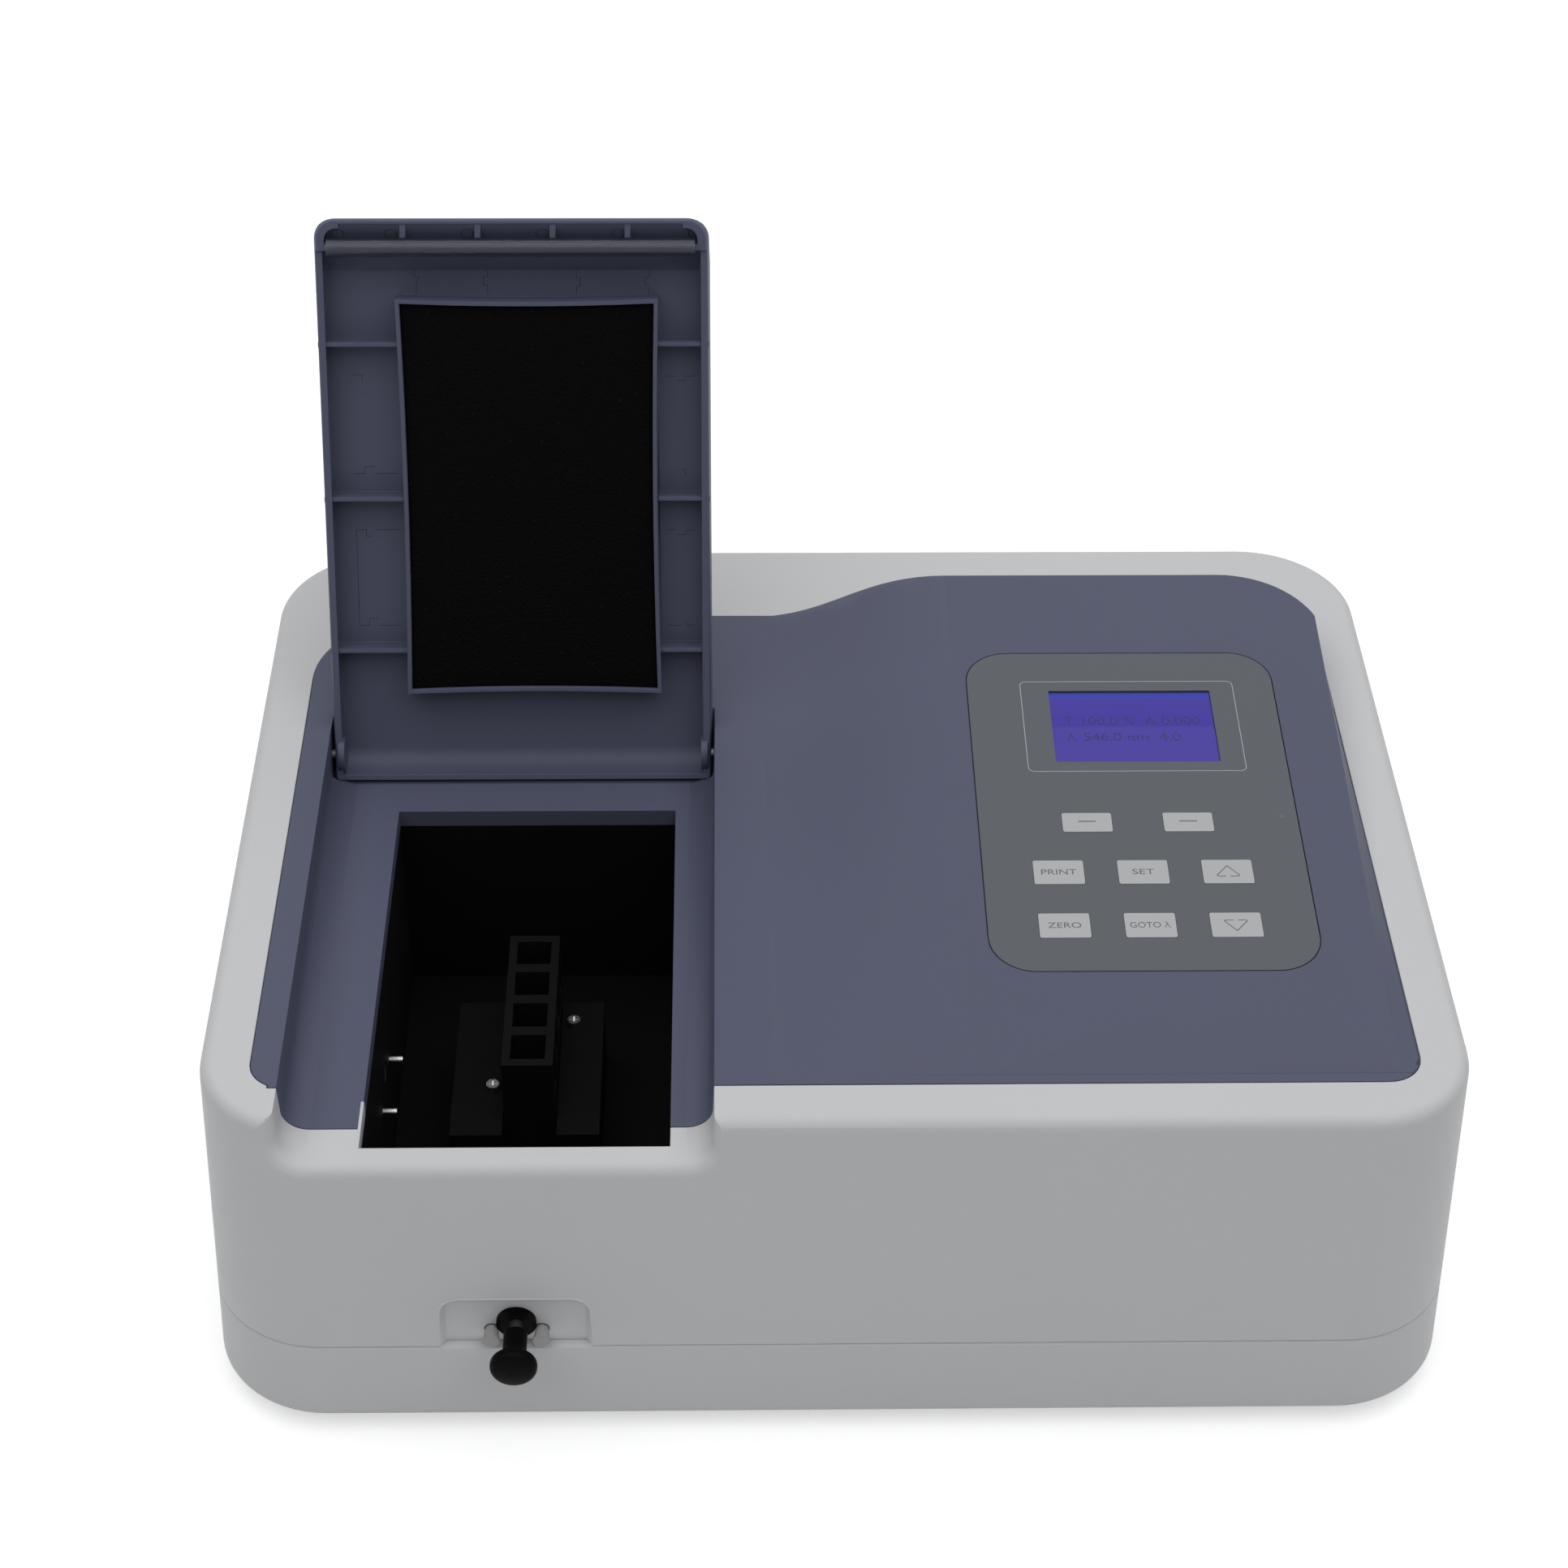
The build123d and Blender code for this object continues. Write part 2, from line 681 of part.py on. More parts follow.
with BuildPart() as top_panel:
    extrude(panel_outline(rim_z - panel_wall, 0), amount=panel_wall)
    # Tub of the lid channel, with a deeper block round the hinge
    extrude(
        channel_section(body_frame, rim_z, hinge_y, -panel_wall, 0),
        amount=hinge_y - panel_front,
    )
    with BuildSketch(side_plane(body_frame, recess_mid_x - block_half)):
        with BuildLine():
            Polyline(
                (hinge_y - trough_r - panel_wall, rim_z - 1),
                (hinge_y - trough_r - panel_wall, trough_bottom_z),
                (hinge_y + trough_r + panel_wall, trough_bottom_z),
                (hinge_y + trough_r + 3 * panel_wall, rim_z - 1),
                close=True,
            )
        make_face()
    extrude(amount=2 * block_half)
    # Skirt round the opening
    box_between(
        opening_left - 2,
        opening_left + opening_width + 2,
        panel_front,
        opening_rear + 2,
        recess_floor_z - opening_skirt,
        recess_floor_z - 1,
    )
    # Console, hollow from below
    add(console_body(console_front, panel_rear + 1, 0, 0, rim_z - panel_wall / 2))
    add(
        console_body(
            console_front + 40, console_rear - 8, console_wall + 0.3, panel_ledge + 1, rim_z - 2 * panel_wall
        ),
        mode=Mode.SUBTRACT,
    )
    # Room for the lid
    extrude(
        channel_section(body_frame, rim_z, hinge_y, 0, 1),
        amount=hinge_y - panel_front + 1,
        mode=Mode.SUBTRACT,
    )
    with BuildSketch(side_plane(body_frame, recess_left)):
        with BuildLine():
            Polyline(
                (hinge_y - 1, hinge_z),
                (hinge_y - 1, rim_z + 1),
                (
                    hinge_y + trough_r * cos(radians(stop_lean))
                    + (hinge_depth + 1 + trough_r * sin(radians(stop_lean))) * tan(radians(stop_lean)),
                    rim_z + 1,
                ),
                (
                    hinge_y + trough_r * cos(radians(stop_lean)),
                    hinge_z - trough_r * sin(radians(stop_lean)),
                ),
                (hinge_y, hinge_z),
                close=True,
            )
        make_face()
    extrude(amount=recess_width, mode=Mode.SUBTRACT)
    rod_along(right, recess_left, hinge_y, hinge_z, trough_r, recess_width, Mode.SUBTRACT)
    rod_along(right, recess_left - 20, hinge_y, hinge_z, hinge_pin_r, recess_width + 40, Mode.SUBTRACT)
    box_between(
        opening_left,
        opening_left + opening_width,
        panel_front - 1,
        opening_rear,
        recess_floor_z - 20,
        recess_floor_z + 1,
        Mode.SUBTRACT,
    )
    # Seat of the keypad, holes for keys and display, and posts for the board
    with BuildSketch(on_console(overlay_thickness)):
        with Locations((overlay_mid_x, overlay_mid_y)):
            RectangleRounded(
                overlay_width + 2 * overlay_gap, overlay_length + 2 * overlay_gap, overlay_corner_r + overlay_gap
            )
    extrude(amount=20, mode=Mode.SUBTRACT)
    with BuildSketch(on_console(console_wall)):
        with Locations(((keypad_board_left + keypad_board_right) / 2, (keypad_board_front + keypad_board_rear) / 2)):
            Rectangle(keypad_board_right - keypad_board_left + 3, keypad_board_rear - keypad_board_front + 3)
        with Locations((lcd_mid_x, lcd_mid_y)):
            Rectangle(lcd_board_width + 2, lcd_board_height + 2)
    extrude(amount=-30, mode=Mode.SUBTRACT)
    with BuildSketch(on_console(keypad_board_top * -1)):
        with Locations(*keypad_posts):
            Circle(board_post_r)
    extrude(amount=-keypad_board_top - console_wall + 1)
    with BuildSketch(on_console(0)):
        for name, x, y, height in keys:
            with Locations((x, y)):
                Rectangle(key_width + 2 * key_gap + 0.4, height + 2 * key_gap + 0.4)
        with Locations((lcd_mid_x, lcd_mid_y)):
            Rectangle(lcd_width, lcd_height)
    extrude(amount=-console_wall - 1, mode=Mode.SUBTRACT)
top_panel.part.label = "top_panel"
export_step(top_panel.part, "parts/top_panel.step")

with BuildPart() as keypad_overlay:
    with BuildSketch(on_console(overlay_thickness)):
        with Locations((overlay_mid_x, overlay_mid_y)):
            RectangleRounded(overlay_width, overlay_length, overlay_corner_r)
        for name, x, y, height in keys:
            with Locations((x, y)):
                RectangleRounded(
                    key_width + 2 * key_gap, height + 2 * key_gap, key_corner_r + key_gap, mode=Mode.SUBTRACT
                )
        with Locations((lcd_mid_x, lcd_mid_y)):
            Rectangle(lcd_width, lcd_height, mode=Mode.SUBTRACT)
    extrude(amount=overlay_thickness)
keypad_overlay.part.label = "keypad_overlay"
export_step(keypad_overlay.part, "parts/keypad_overlay.step")

with BuildPart() as lcd_window:
    with BuildSketch(on_console(window_glass)):
        with Locations((lcd_mid_x, lcd_mid_y)):
            Rectangle(lcd_width, lcd_height)
    extrude(amount=window_glass)
lcd_window.part.label = "lcd_window"
export_step(lcd_window.part, "parts/lcd_window.step")

with BuildPart() as lcd_screen:
    with BuildSketch(on_console(console_wall + screen_thickness)):
        with Locations((lcd_mid_x, lcd_mid_y)):
            Rectangle(lcd_width + 2 * screen_margin, lcd_height + 2 * screen_margin)
    extrude(amount=screen_thickness)
    with BuildSketch(on_console(console_wall)):
        with Locations((lcd_mid_x, lcd_mid_y)):
            Rectangle(lcd_width - 2 * screen_clearance, lcd_height - 2 * screen_clearance)
    extrude(amount=console_wall - window_glass)
lcd_screen.part.label = "lcd_screen"
export_step(lcd_screen.part, "parts/lcd_screen.step")

with BuildPart() as lcd_module:
    with BuildSketch(on_console(console_wall + screen_thickness)):
        with Locations((lcd_mid_x, lcd_mid_y)):
            Rectangle(lcd_board_width, lcd_board_height)
    extrude(amount=-lcd_board_thickness)
    with BuildSketch(on_console(console_wall + screen_thickness)):
        with Locations((lcd_mid_x, lcd_mid_y)):
            with GridLocations(lcd_board_width - 8, lcd_board_height - 8, 2, 2):
                Circle(board_post_r)
    extrude(amount=screen_thickness)
lcd_module.part.label = "lcd_module"
export_step(lcd_module.part, "parts/lcd_module.step")

with BuildPart() as keypad_board:
    with BuildSketch(on_console(-keypad_board_top)):
        with Locations(
            (
                (keypad_board_left + keypad_board_right) / 2,
                (keypad_board_front + keypad_board_rear) / 2,
            )
        ):
            Rectangle(keypad_board_right - keypad_board_left, keypad_board_rear - keypad_board_front)
    extrude(amount=-keypad_board_thickness)
    with BuildSketch(on_console(-keypad_board_top)):
        for name, x, y, height in keys:
            with Locations((x, y)):
                Circle(dome_r)
    extrude(amount=dome_height, taper=20)
keypad_board.part.label = "keypad_board"
export_step(keypad_board.part, "parts/keypad_board.step")

for key_name, key_x, key_y, key_length in keys:
    with BuildPart() as key_pad:
        with BuildSketch(on_console(-key_bottom)):
            with Locations((key_x, key_y)):
                Rectangle(key_width + 2 * key_flange, key_length + 2 * key_flange)
        extrude(amount=key_flange_thickness)
        with BuildSketch(on_console(console_wall)):
            with Locations((key_x, key_y)):
                RectangleRounded(key_width, key_length, key_corner_r)
        extrude(amount=console_wall + key_proud)
    key_pad.part.label = key_name
    export_step(key_pad.part, "parts/" + key_name + ".step")

# Lid, drawn closed on its own frame: the hinge axis is the frame's X axis
lip_z = hinge_depth - lid_depth
lip_angle = degrees(asin(lip_z / lid_round_r))
nose_z = hinge_depth - lid_nose_depth
nose_end = -lid_reach + lid_nose_length
lid_inner_top = hinge_depth - lid_wall
lid_floor_half = recess_width / 2 - lid_gap - recess_taper - recess_cove_r
rib_thickness = 1.6
rib_stop = 1.0
rib_half = lid_width / 2 - 0.6
rib_places = [-156.8, -99.2, -41.1]
nose_rib_pitch = 27.1
nose_rib_shift = 1.5
nose_rib_stop = 0.5
frame_left = recess_mid_x - 42.85
frame_right = recess_mid_x + 52.95
frame_front = -173.6
frame_rear = -24.7
frame_wall = 1.6
frame_depth = 14.5
frame_bow = 1.0
foam_depth = 12.8
foam_gap = 0.1
boss_outer_half = lid_width / 2 - hinge_boss_inset
boss_inner_half = lid_width / 2 - lid_wall - hinge_boss_length
pin_end_gap = 0.3
pin_cover = 0.8
pin_reach = recess_width / 2 - boss_inner_half - pin_cover - pin_end_gap
strip_half = 66.6
strip_r = 3.4
strip_wall = 0.8
strip_z = nose_z
strip_y = nose_end - lid_wall / 2
strip_clearance = 0.05


def lid_shape(inset):
    """Outside of the lid, or the room in it: channel section, side profile and plan together."""
    round_r = lid_round_r - inset
    ramp_angle = atan2(hinge_depth - nose_z - lid_nose_face, lid_ramp)
    ramp_low = nose_z + lid_nose_face - inset * (1 - sin(ramp_angle)) / cos(ramp_angle)
    ramp_end = -lid_reach + inset + (round_r - ramp_low) / tan(ramp_angle)
    low_end = (round_r * cos(radians(lip_angle)), round_r * sin(radians(lip_angle)))
    if inset == 0:
        lower = [low_end, (nose_end, lip_z), (nose_end, nose_z), (-lid_reach, nose_z)]
    else:
        lower = [low_end, (low_end[0], -30), (-lid_reach + inset, -30)]
    with BuildPart() as shape:
        extrude(
            channel_section(lid_frame, hinge_depth, lid_round_r, lid_gap + inset, 0),
            amount=lid_reach - inset + lid_round_r,
        )
        corner_edges = []
        for edge in shape.edges():
            spot = lid_frame.to_local_coords(edge.center())
            at_front = abs(spot.Y + lid_reach - inset) < 0.01
            at_side = abs(spot.X - recess_mid_x) > lid_floor_half + 1
            if at_front and at_side and spot.Z < hinge_depth - 0.5:
                corner_edges.append(edge)
        fillet(corner_edges, lid_corner_r - inset)
        if inset > 0:
            with BuildSketch(raised(lid_frame, 0)):
                with Locations((recess_mid_x, -lid_reach / 2)):
                    Rectangle(2 * lid_floor_half, lid_reach + 2 * lid_round_r)
            extrude(amount=-30)
        with BuildSketch(side_plane(lid_frame, recess_left - 10)):
            with BuildLine():
                Polyline(*lower, (-lid_reach + inset, ramp_low), (ramp_end, round_r), (0, round_r))
                CenterArc((0, 0), round_r, 90, lip_angle - 90)
            make_face()
        extrude(amount=recess_width + 20, mode=Mode.INTERSECT)
    return shape.part


def bowed_rectangle(width, length):
    """A rectangle whose sides bend inwards a little, as thin moulded walls do."""
    half_x = width / 2
    half_y = length / 2
    with BuildSketch() as outline:
        with BuildLine():
            ThreePointArc((-half_x, -half_y), (0, frame_bow - half_y), (half_x, -half_y))
            ThreePointArc((half_x, -half_y), (half_x - frame_bow, 0), (half_x, half_y))
            ThreePointArc((half_x, half_y), (0, half_y - frame_bow), (-half_x, half_y))
            ThreePointArc((-half_x, half_y), (frame_bow - half_x, 0), (-half_x, -half_y))
        make_face()
    return outline.sketch


def cross_wall():
    """Wall behind the nose of the lid, with the same rounded lower corners as the outside."""
    with BuildPart() as slab:
        add(lid_shape(0))
        with Locations(lid_frame):
            box_between(
                recess_left,
                recess_right,
                nose_end - lid_wall,
                nose_end,
                strip_z,
                lid_inner_top + 0.5,
                Mode.INTERSECT,
            )
    return slab.part


def nose_webs():
    """Short ribs in the nose of the lid, cut back where the clear strip lies."""
    with BuildPart() as webs:
        with Locations(lid_frame):
            for count in (-1.5, -0.5, 0.5, 1.5):
                web_x = recess_mid_x + nose_rib_shift + count * nose_rib_pitch
                box_between(
                    web_x - lid_wall / 2,
                    web_x + lid_wall / 2,
                    -lid_reach + lid_wall / 2,
                    strip_y,
                    nose_z + nose_rib_stop,
                    hinge_depth,
                )
            rod_along(
                right,
                recess_mid_x - strip_half,
                strip_y,
                strip_z,
                strip_r + strip_clearance,
                2 * strip_half,
                Mode.SUBTRACT,
            )
        add(lid_shape(lid_wall / 2), mode=Mode.INTERSECT)
    return webs.part


with BuildPart() as lid:
    add(lid_shape(0))
    top_edges = []
    for edge in lid.edges():
        spot = lid_frame.to_local_coords(edge.center())
        if abs(spot.Z - hinge_depth) < 0.01 and spot.Y < -1:
            top_edges.append(edge)
    fillet(top_edges, lid_edge_r)
    add(lid_shape(lid_wall), mode=Mode.SUBTRACT)
    add(nose_webs())
    add(cross_wall())
    with Locations(lid_frame):
        for place in rib_places:
            for x0, x1 in [
                (recess_mid_x - rib_half, frame_left + frame_wall / 2),
                (frame_right - frame_wall / 2, recess_mid_x + rib_half),
            ]:
                box_between(
                    x0,
                    x1,
                    place - rib_thickness / 2,
                    place + rib_thickness / 2,
                    lip_z + rib_stop,
                    lid_inner_top + 0.5,
                )
    with BuildSketch(raised(lid_frame, hinge_depth - frame_depth)):
        with Locations(((frame_left + frame_right) / 2, (frame_front + frame_rear) / 2)):
            add(bowed_rectangle(frame_right - frame_left, frame_rear - frame_front))
            add(
                bowed_rectangle(
                    frame_right - frame_left - 2 * frame_wall, frame_rear - frame_front - 2 * frame_wall
                ),
                mode=Mode.SUBTRACT,
            )
    extrude(amount=frame_depth - lid_wall + 0.5)
    with Locations(lid_frame):
        rod_along(right, recess_mid_x - boss_outer_half, 0, 0, hinge_boss_r, boss_outer_half - boss_inner_half)
        rod_along(right, recess_mid_x + boss_inner_half, 0, 0, hinge_boss_r, boss_outer_half - boss_inner_half)
        bore_r = hinge_pin_r + hinge_clearance
        rod_along(right, recess_left, 0, 0, bore_r, pin_reach + pin_end_gap, Mode.SUBTRACT)
        rod_along(left, recess_right, 0, 0, bore_r, pin_reach + pin_end_gap, Mode.SUBTRACT)
lid.part.label = "lid"
export_step(lid.part, "parts/lid.step")

with BuildPart() as lid_pad:
    with BuildSketch(raised(lid_frame, hinge_depth - foam_depth)):
        with Locations(((frame_left + frame_right) / 2, (frame_front + frame_rear) / 2)):
            add(
                bowed_rectangle(
                    frame_right - frame_left - 2 * frame_wall - 2 * foam_gap,
                    frame_rear - frame_front - 2 * frame_wall - 2 * foam_gap,
                )
            )
    extrude(amount=foam_depth - lid_wall)
lid_pad.part.label = "lid_pad"
export_step(lid_pad.part, "parts/lid_pad.step")

with BuildPart() as lid_strip:
    with BuildSketch(side_plane(lid_frame, recess_mid_x - strip_half)):
        with Locations((strip_y, strip_z)):
            Circle(strip_r)
            Circle(strip_r - strip_wall, mode=Mode.SUBTRACT)
        with Locations((strip_y, strip_z + strip_r)):
            Rectangle(lid_wall, 2 * strip_r, mode=Mode.SUBTRACT)
    extrude(amount=2 * strip_half)
lid_strip.part.label = "lid_strip"
export_step(lid_strip.part, "parts/lid_strip.step")

pin_length = panel_wall + pin_reach

with BuildPart() as hinge_pins:
    rod_along(right, recess_left - panel_wall, hinge_y, hinge_z, hinge_pin_r, pin_length)
    rod_along(left, recess_right + panel_wall, hinge_y, hinge_z, hinge_pin_r, pin_length)
hinge_pins.part.label = "hinge_pins"
export_step(hinge_pins.part, "parts/hinge_pins.step")

# Optical base and the cell compartment
liner_wall = 2.0
liner_floor = 2.5
liner_floor_z = base_top_z + liner_floor
liner_left = opening_left
liner_right = opening_left + opening_width
liner_top_z = recess_floor_z - opening_skirt - 0.3
liner_front_top_z = recess_floor_z - wall - 0.3
beam_y = front_y + 88.4
beam_z = rim_z - 60.0
port_r = 4.0
window_thickness = 1.6
guide_left = rod_x - 27.0
guide_right = rod_x + 27.0
guide_front = front_y + 71.0
guide_length = 70.0
guide_top_z = rim_z - 75.0
guide_floor = 3.0
guide_screws_at = [(rod_x - 12.5, front_y + 95.4), (rod_x + 16.0, front_y + 129.5)]
slide_gap = 0.05
carriage_width = 19.6
holder_width = 18.4
holder_left = rod_x - 7.5
holder_front = front_y + 78.8
holder_length = 69.8
holder_mid_x = holder_left + holder_width / 2
carriage_bottom_z = liner_floor_z + guide_floor + slide_gap
carriage_top_z = liner_floor_z + 25.0
holder_top_z = rim_z - 48.0
well_width = 12.6
well_length = 12.4
well_pitch = 16.9
well_margin = 3.4
well_floor = 2.5
cell_window_width = 8.0
cell_window_height = 16.0
rod_grip = 8.0
stud_r = 1.5
stud_length = 11.0
stud_places = [front_y + 100.0, front_y + 73.0]
stud_z = rim_z - 65.0

# Light side: monochromator, filter wheel and lamp
case_left = liner_right + 6.0
case_right = base_right - 20.0
case_front = front_y + 56.0
case_rear = opening_rear + 62.8
case_wall = 4.0
case_top_z = base_top_z + 72.0
case_floor_z = base_top_z + case_wall
cover_plate = 2.5
entrance_y = opening_rear + 26.8
slit_size = 12.0
slit_plate = 0.6
slit_width = 0.6
slit_height = 6.0
mirror_size = 30.0
mirror_thickness = 8.0
mirror_x = case_right - 18.0
mirror_mount_thickness = 6.0
focus_y = front_y + 100.0
collimate_y = entrance_y - 14.0
table_x = case_left + 50.0
table_y = front_y + 150.0
table_r = 14.0
table_height = 4.0
table_shaft_r = 2.5
table_lift = 2.0
bearing_gap = 0.05
grating_size = 25.0
grating_thickness = 6.0
motor_size = 35.0
motor_height = 20.0
wheel_r = 26.0
wheel_offset = 17.0
wheel_thickness = 3.0
wheel_x = case_left - 12.0
wheel_y = entrance_y + wheel_offset
wheel_shaft_r = 1.5
filter_r = 5.0
wheel_motor_r = 11.0
lamp_house_right = case_left - 30.0
lamp_house_left = lamp_house_right - 70.0
lamp_house_front = opening_rear + 8.8
lamp_house_rear = lamp_house_front + 80.0
lamp_house_wall = 1.5
lamp_house_top_z = base_top_z + 74.0
lamp_x = lamp_house_right - 32.0
bulb_r = 5.5
bulb_height = 24.0
socket_size = 16.0
socket_top_z = beam_z - 16.0
detector_left = liner_left - 42.0
detector_front = front_y + 66.0
detector_length = 45.0
detector_wall = 2.5
detector_top_z = base_top_z + 65.0
diode_r = 4.6
diode_length = 5.0
diode_back_x = detector_left + 17.6

with BuildPart() as optical_base:
    box_between(base_left, base_right, base_front, base_rear, base_z, base_top_z)
    with BuildSketch(Plane.XY.offset(base_z - 1)):
        with Locations(*pillar_places):
            Circle(screw_r)
        with Locations(*guide_screws_at):
            Circle(small_screw_r)
        with Locations((table_x, table_y)):
            Circle(table_shaft_r + 1)
    extrude(amount=base_thickness + 2, mode=Mode.SUBTRACT)
optical_base.part.label = "optical_base"
export_step(optical_base.part, "parts/optical_base.step")

with BuildPart() as compartment_liner:
    box_between(
        liner_left - liner_wall,
        liner_right + liner_wall,
        opening_front - liner_wall,
        opening_rear + liner_wall,
        base_top_z,
        liner_top_z,
    )
    box_between(
        liner_left - liner_wall,
        liner_right + liner_wall,
        opening_front - liner_wall,
        panel_front - panel_gap,
        liner_top_z - 1,
        liner_front_top_z,
    )
    box_between(
        liner_left,
        liner_right,
        opening_front,
        opening_rear,
        liner_floor_z,
        liner_front_top_z + 1,
        Mode.SUBTRACT,
    )
    rod_along(front, rod_x, opening_front + 1, rod_z, rod_r + 1, 10, Mode.SUBTRACT)
    rod_along(right, liner_left - 10, beam_y, beam_z, port_r, opening_width + 20, Mode.SUBTRACT)
    with BuildSketch(Plane.XY.offset(base_top_z - 1)):
        with Locations(*guide_screws_at):
            Circle(small_screw_r)
    extrude(amount=liner_floor + 2, mode=Mode.SUBTRACT)
    for stud_y in stud_places:
        rod_along(left, liner_left + 1, stud_y, stud_z, stud_r, 10, Mode.SUBTRACT)
compartment_liner.part.label = "compartment_liner"
export_step(compartment_liner.part, "parts/compartment_liner.step")

with BuildPart() as port_studs:
    for stud_y in stud_places:
        rod_along(right, liner_left - 6, stud_y, stud_z, stud_r, stud_length)
port_studs.part.label = "port_studs"
export_step(port_studs.part, "parts/port_studs.step")

with BuildPart() as beam_windows:
    rod_along(right, liner_left - liner_wall, beam_y, beam_z, port_r, window_thickness)
    rod_along(left, liner_right + liner_wall, beam_y, beam_z, port_r, window_thickness)
beam_windows.part.label = "beam_windows"
export_step(beam_windows.part, "parts/beam_windows.step")

with BuildPart() as carriage_guide:
    box_between(guide_left, guide_right, guide_front, guide_front + guide_length, liner_floor_z, guide_top_z)
    box_between(
        holder_mid_x - carriage_width / 2 - slide_gap,
        holder_mid_x + carriage_width / 2 + slide_gap,
        guide_front - 1,
        guide_front + guide_length + 1,
        liner_floor_z + guide_floor,
        guide_top_z + 1,
        Mode.SUBTRACT,
    )
    with BuildSketch(Plane.XY.offset(liner_floor_z - 1)):
        with Locations(*guide_screws_at):
            Circle(small_screw_r)
    extrude(amount=guide_top_z - liner_floor_z + 2, mode=Mode.SUBTRACT)
carriage_guide.part.label = "carriage_guide"
export_step(carriage_guide.part, "parts/carriage_guide.step")

with BuildPart() as guide_screws:
    with BuildSketch(Plane.XY.offset(guide_top_z)):
        with Locations(*guide_screws_at):
            Circle(small_screw_r)
    extrude(amount=base_z + 2 - guide_top_z)
    with BuildSketch(Plane.XY.offset(guide_top_z)):
        with Locations(*guide_screws_at):
            Circle(small_head_r)
    extrude(amount=small_head_height)
    with BuildSketch(Plane.XY.offset(guide_top_z + small_head_height)):
        with Locations(*guide_screws_at):
            Rectangle(3, 0.7)
            Rectangle(0.7, 3)
    extrude(amount=-1.2, mode=Mode.SUBTRACT)
guide_screws.part.label = "guide_screws"
export_step(guide_screws.part, "parts/guide_screws.step")

with BuildPart() as carriage:
    box_between(
        holder_mid_x - carriage_width / 2,
        holder_mid_x + carriage_width / 2,
        holder_front,
        holder_front + holder_length,
        carriage_bottom_z,
        carriage_top_z,
    )
    rod_along(rear, rod_x, holder_front - 1, rod_z, rod_r, rod_grip + 1, Mode.SUBTRACT)
carriage.part.label = "carriage"
export_step(carriage.part, "parts/carriage.step")

with BuildPart() as cuvette_holder:
    box_between(
        holder_left,
        holder_left + holder_width,
        holder_front,
        holder_front + holder_length,
        carriage_top_z,
        holder_top_z,
    )
    for count in range(4):
        well_y = holder_front + well_margin + well_length / 2 + count * well_pitch
        box_between(
            holder_mid_x - well_width / 2,
            holder_mid_x + well_width / 2,
            well_y - well_length / 2,
            well_y + well_length / 2,
            carriage_top_z + well_floor,
            holder_top_z + 1,
            Mode.SUBTRACT,
        )
        box_between(
            holder_left - 1,
            holder_left + holder_width + 1,
            well_y - cell_window_width / 2,
            well_y + cell_window_width / 2,
            beam_z - cell_window_height / 2,
            beam_z + cell_window_height / 2,
            Mode.SUBTRACT,
        )
cuvette_holder.part.label = "cuvette_holder"
export_step(cuvette_holder.part, "parts/cuvette_holder.step")

# Pull rod and knob, with the bush in the front wall
knob_start = 7.5
knob_neck_end = 16.4
knob_neck_r = 4.15
knob_r = 8.15
knob_back = 20.6
knob_dome = 1.4
knob_rear_round = 1.6
knob_front_round = 2.4
knob_flare_r = 3.0
knob_grip = 11.0
knob_dome_r = (knob_r**2 + knob_dome**2) / (2 * knob_dome)
knob_dome_angle = degrees(asin(knob_r / knob_dome_r))
rod_front_y = front_y - knob_start - knob_grip
rod_length = holder_front + rod_grip - rod_front_y
plug_r_wall = 2.3
plug_r_end = 3.0
plug_length = 6.0

with BuildPart() as pull_rod:
    rod_along(rear, rod_x, rod_front_y, rod_z, rod_r, rod_length)
pull_rod.part.label = "pull_rod"
export_step(pull_rod.part, "parts/pull_rod.step")

with BuildPart() as pull_knob:
    with BuildSketch(Plane(origin=(rod_x, front_y, rod_z), x_dir=(0, -1, 0), z_dir=(1, 0, 0))) as outline:
        with BuildLine():
            Polyline(
                (knob_start, 0),
                (knob_start, knob_neck_r),
                (knob_neck_end, knob_neck_r),
                (knob_back, knob_r),
                (knob_reach - knob_dome, knob_r),
            )
            CenterArc((knob_reach - knob_dome_r, 0), knob_dome_r, 0, knob_dome_angle)
            Line((knob_reach, 0), (knob_start, 0))
        make_face()
        for reach, height, radius in [
            (knob_neck_end, knob_neck_r, knob_flare_r),
            (knob_back, knob_r, knob_rear_round),
            (knob_reach - knob_dome, knob_r, knob_front_round),
        ]:
            corner = outline.vertices().sort_by_distance((reach, height, 0))[0]
            fillet(corner, radius)
    revolve(axis=Axis((rod_x, front_y, rod_z), (0, 1, 0)))
    rod_along(rear, rod_x, rod_front_y, rod_z, rod_r, knob_grip + 1, Mode.SUBTRACT)
pull_knob.part.label = "pull_knob"
export_step(pull_knob.part, "parts/pull_knob.step")

with BuildPart() as rod_bush:
    rod_along(front, rod_x, pocket_face_y, rod_z, bush_r, bush_flange)
    rod_along(rear, rod_x, pocket_face_y, rod_z, bush_stem_r, pocket_pad + 2)
    rod_along(front, rod_x, pocket_face_y + 20, rod_z, rod_r + rod_clearance, 40, Mode.SUBTRACT)
rod_bush.part.label = "rod_bush"
export_step(rod_bush.part, "parts/rod_bush.step")

with BuildPart() as front_plugs:
    for side in (-1, 1):
        rod_along(rear, rod_x + side * plug_spread, pocket_face_y, rod_z - plug_drop, plug_stem_r, pocket_pad + 1)
        with Locations(
            Plane(origin=(rod_x + side * plug_spread, pocket_face_y, rod_z - plug_drop), z_dir=front)
        ):
            Cone(plug_r_wall, plug_r_end, plug_length, align=(Align.CENTER, Align.CENTER, Align.MIN))
front_plugs.part.label = "front_plugs"
export_step(front_plugs.part, "parts/front_plugs.step")

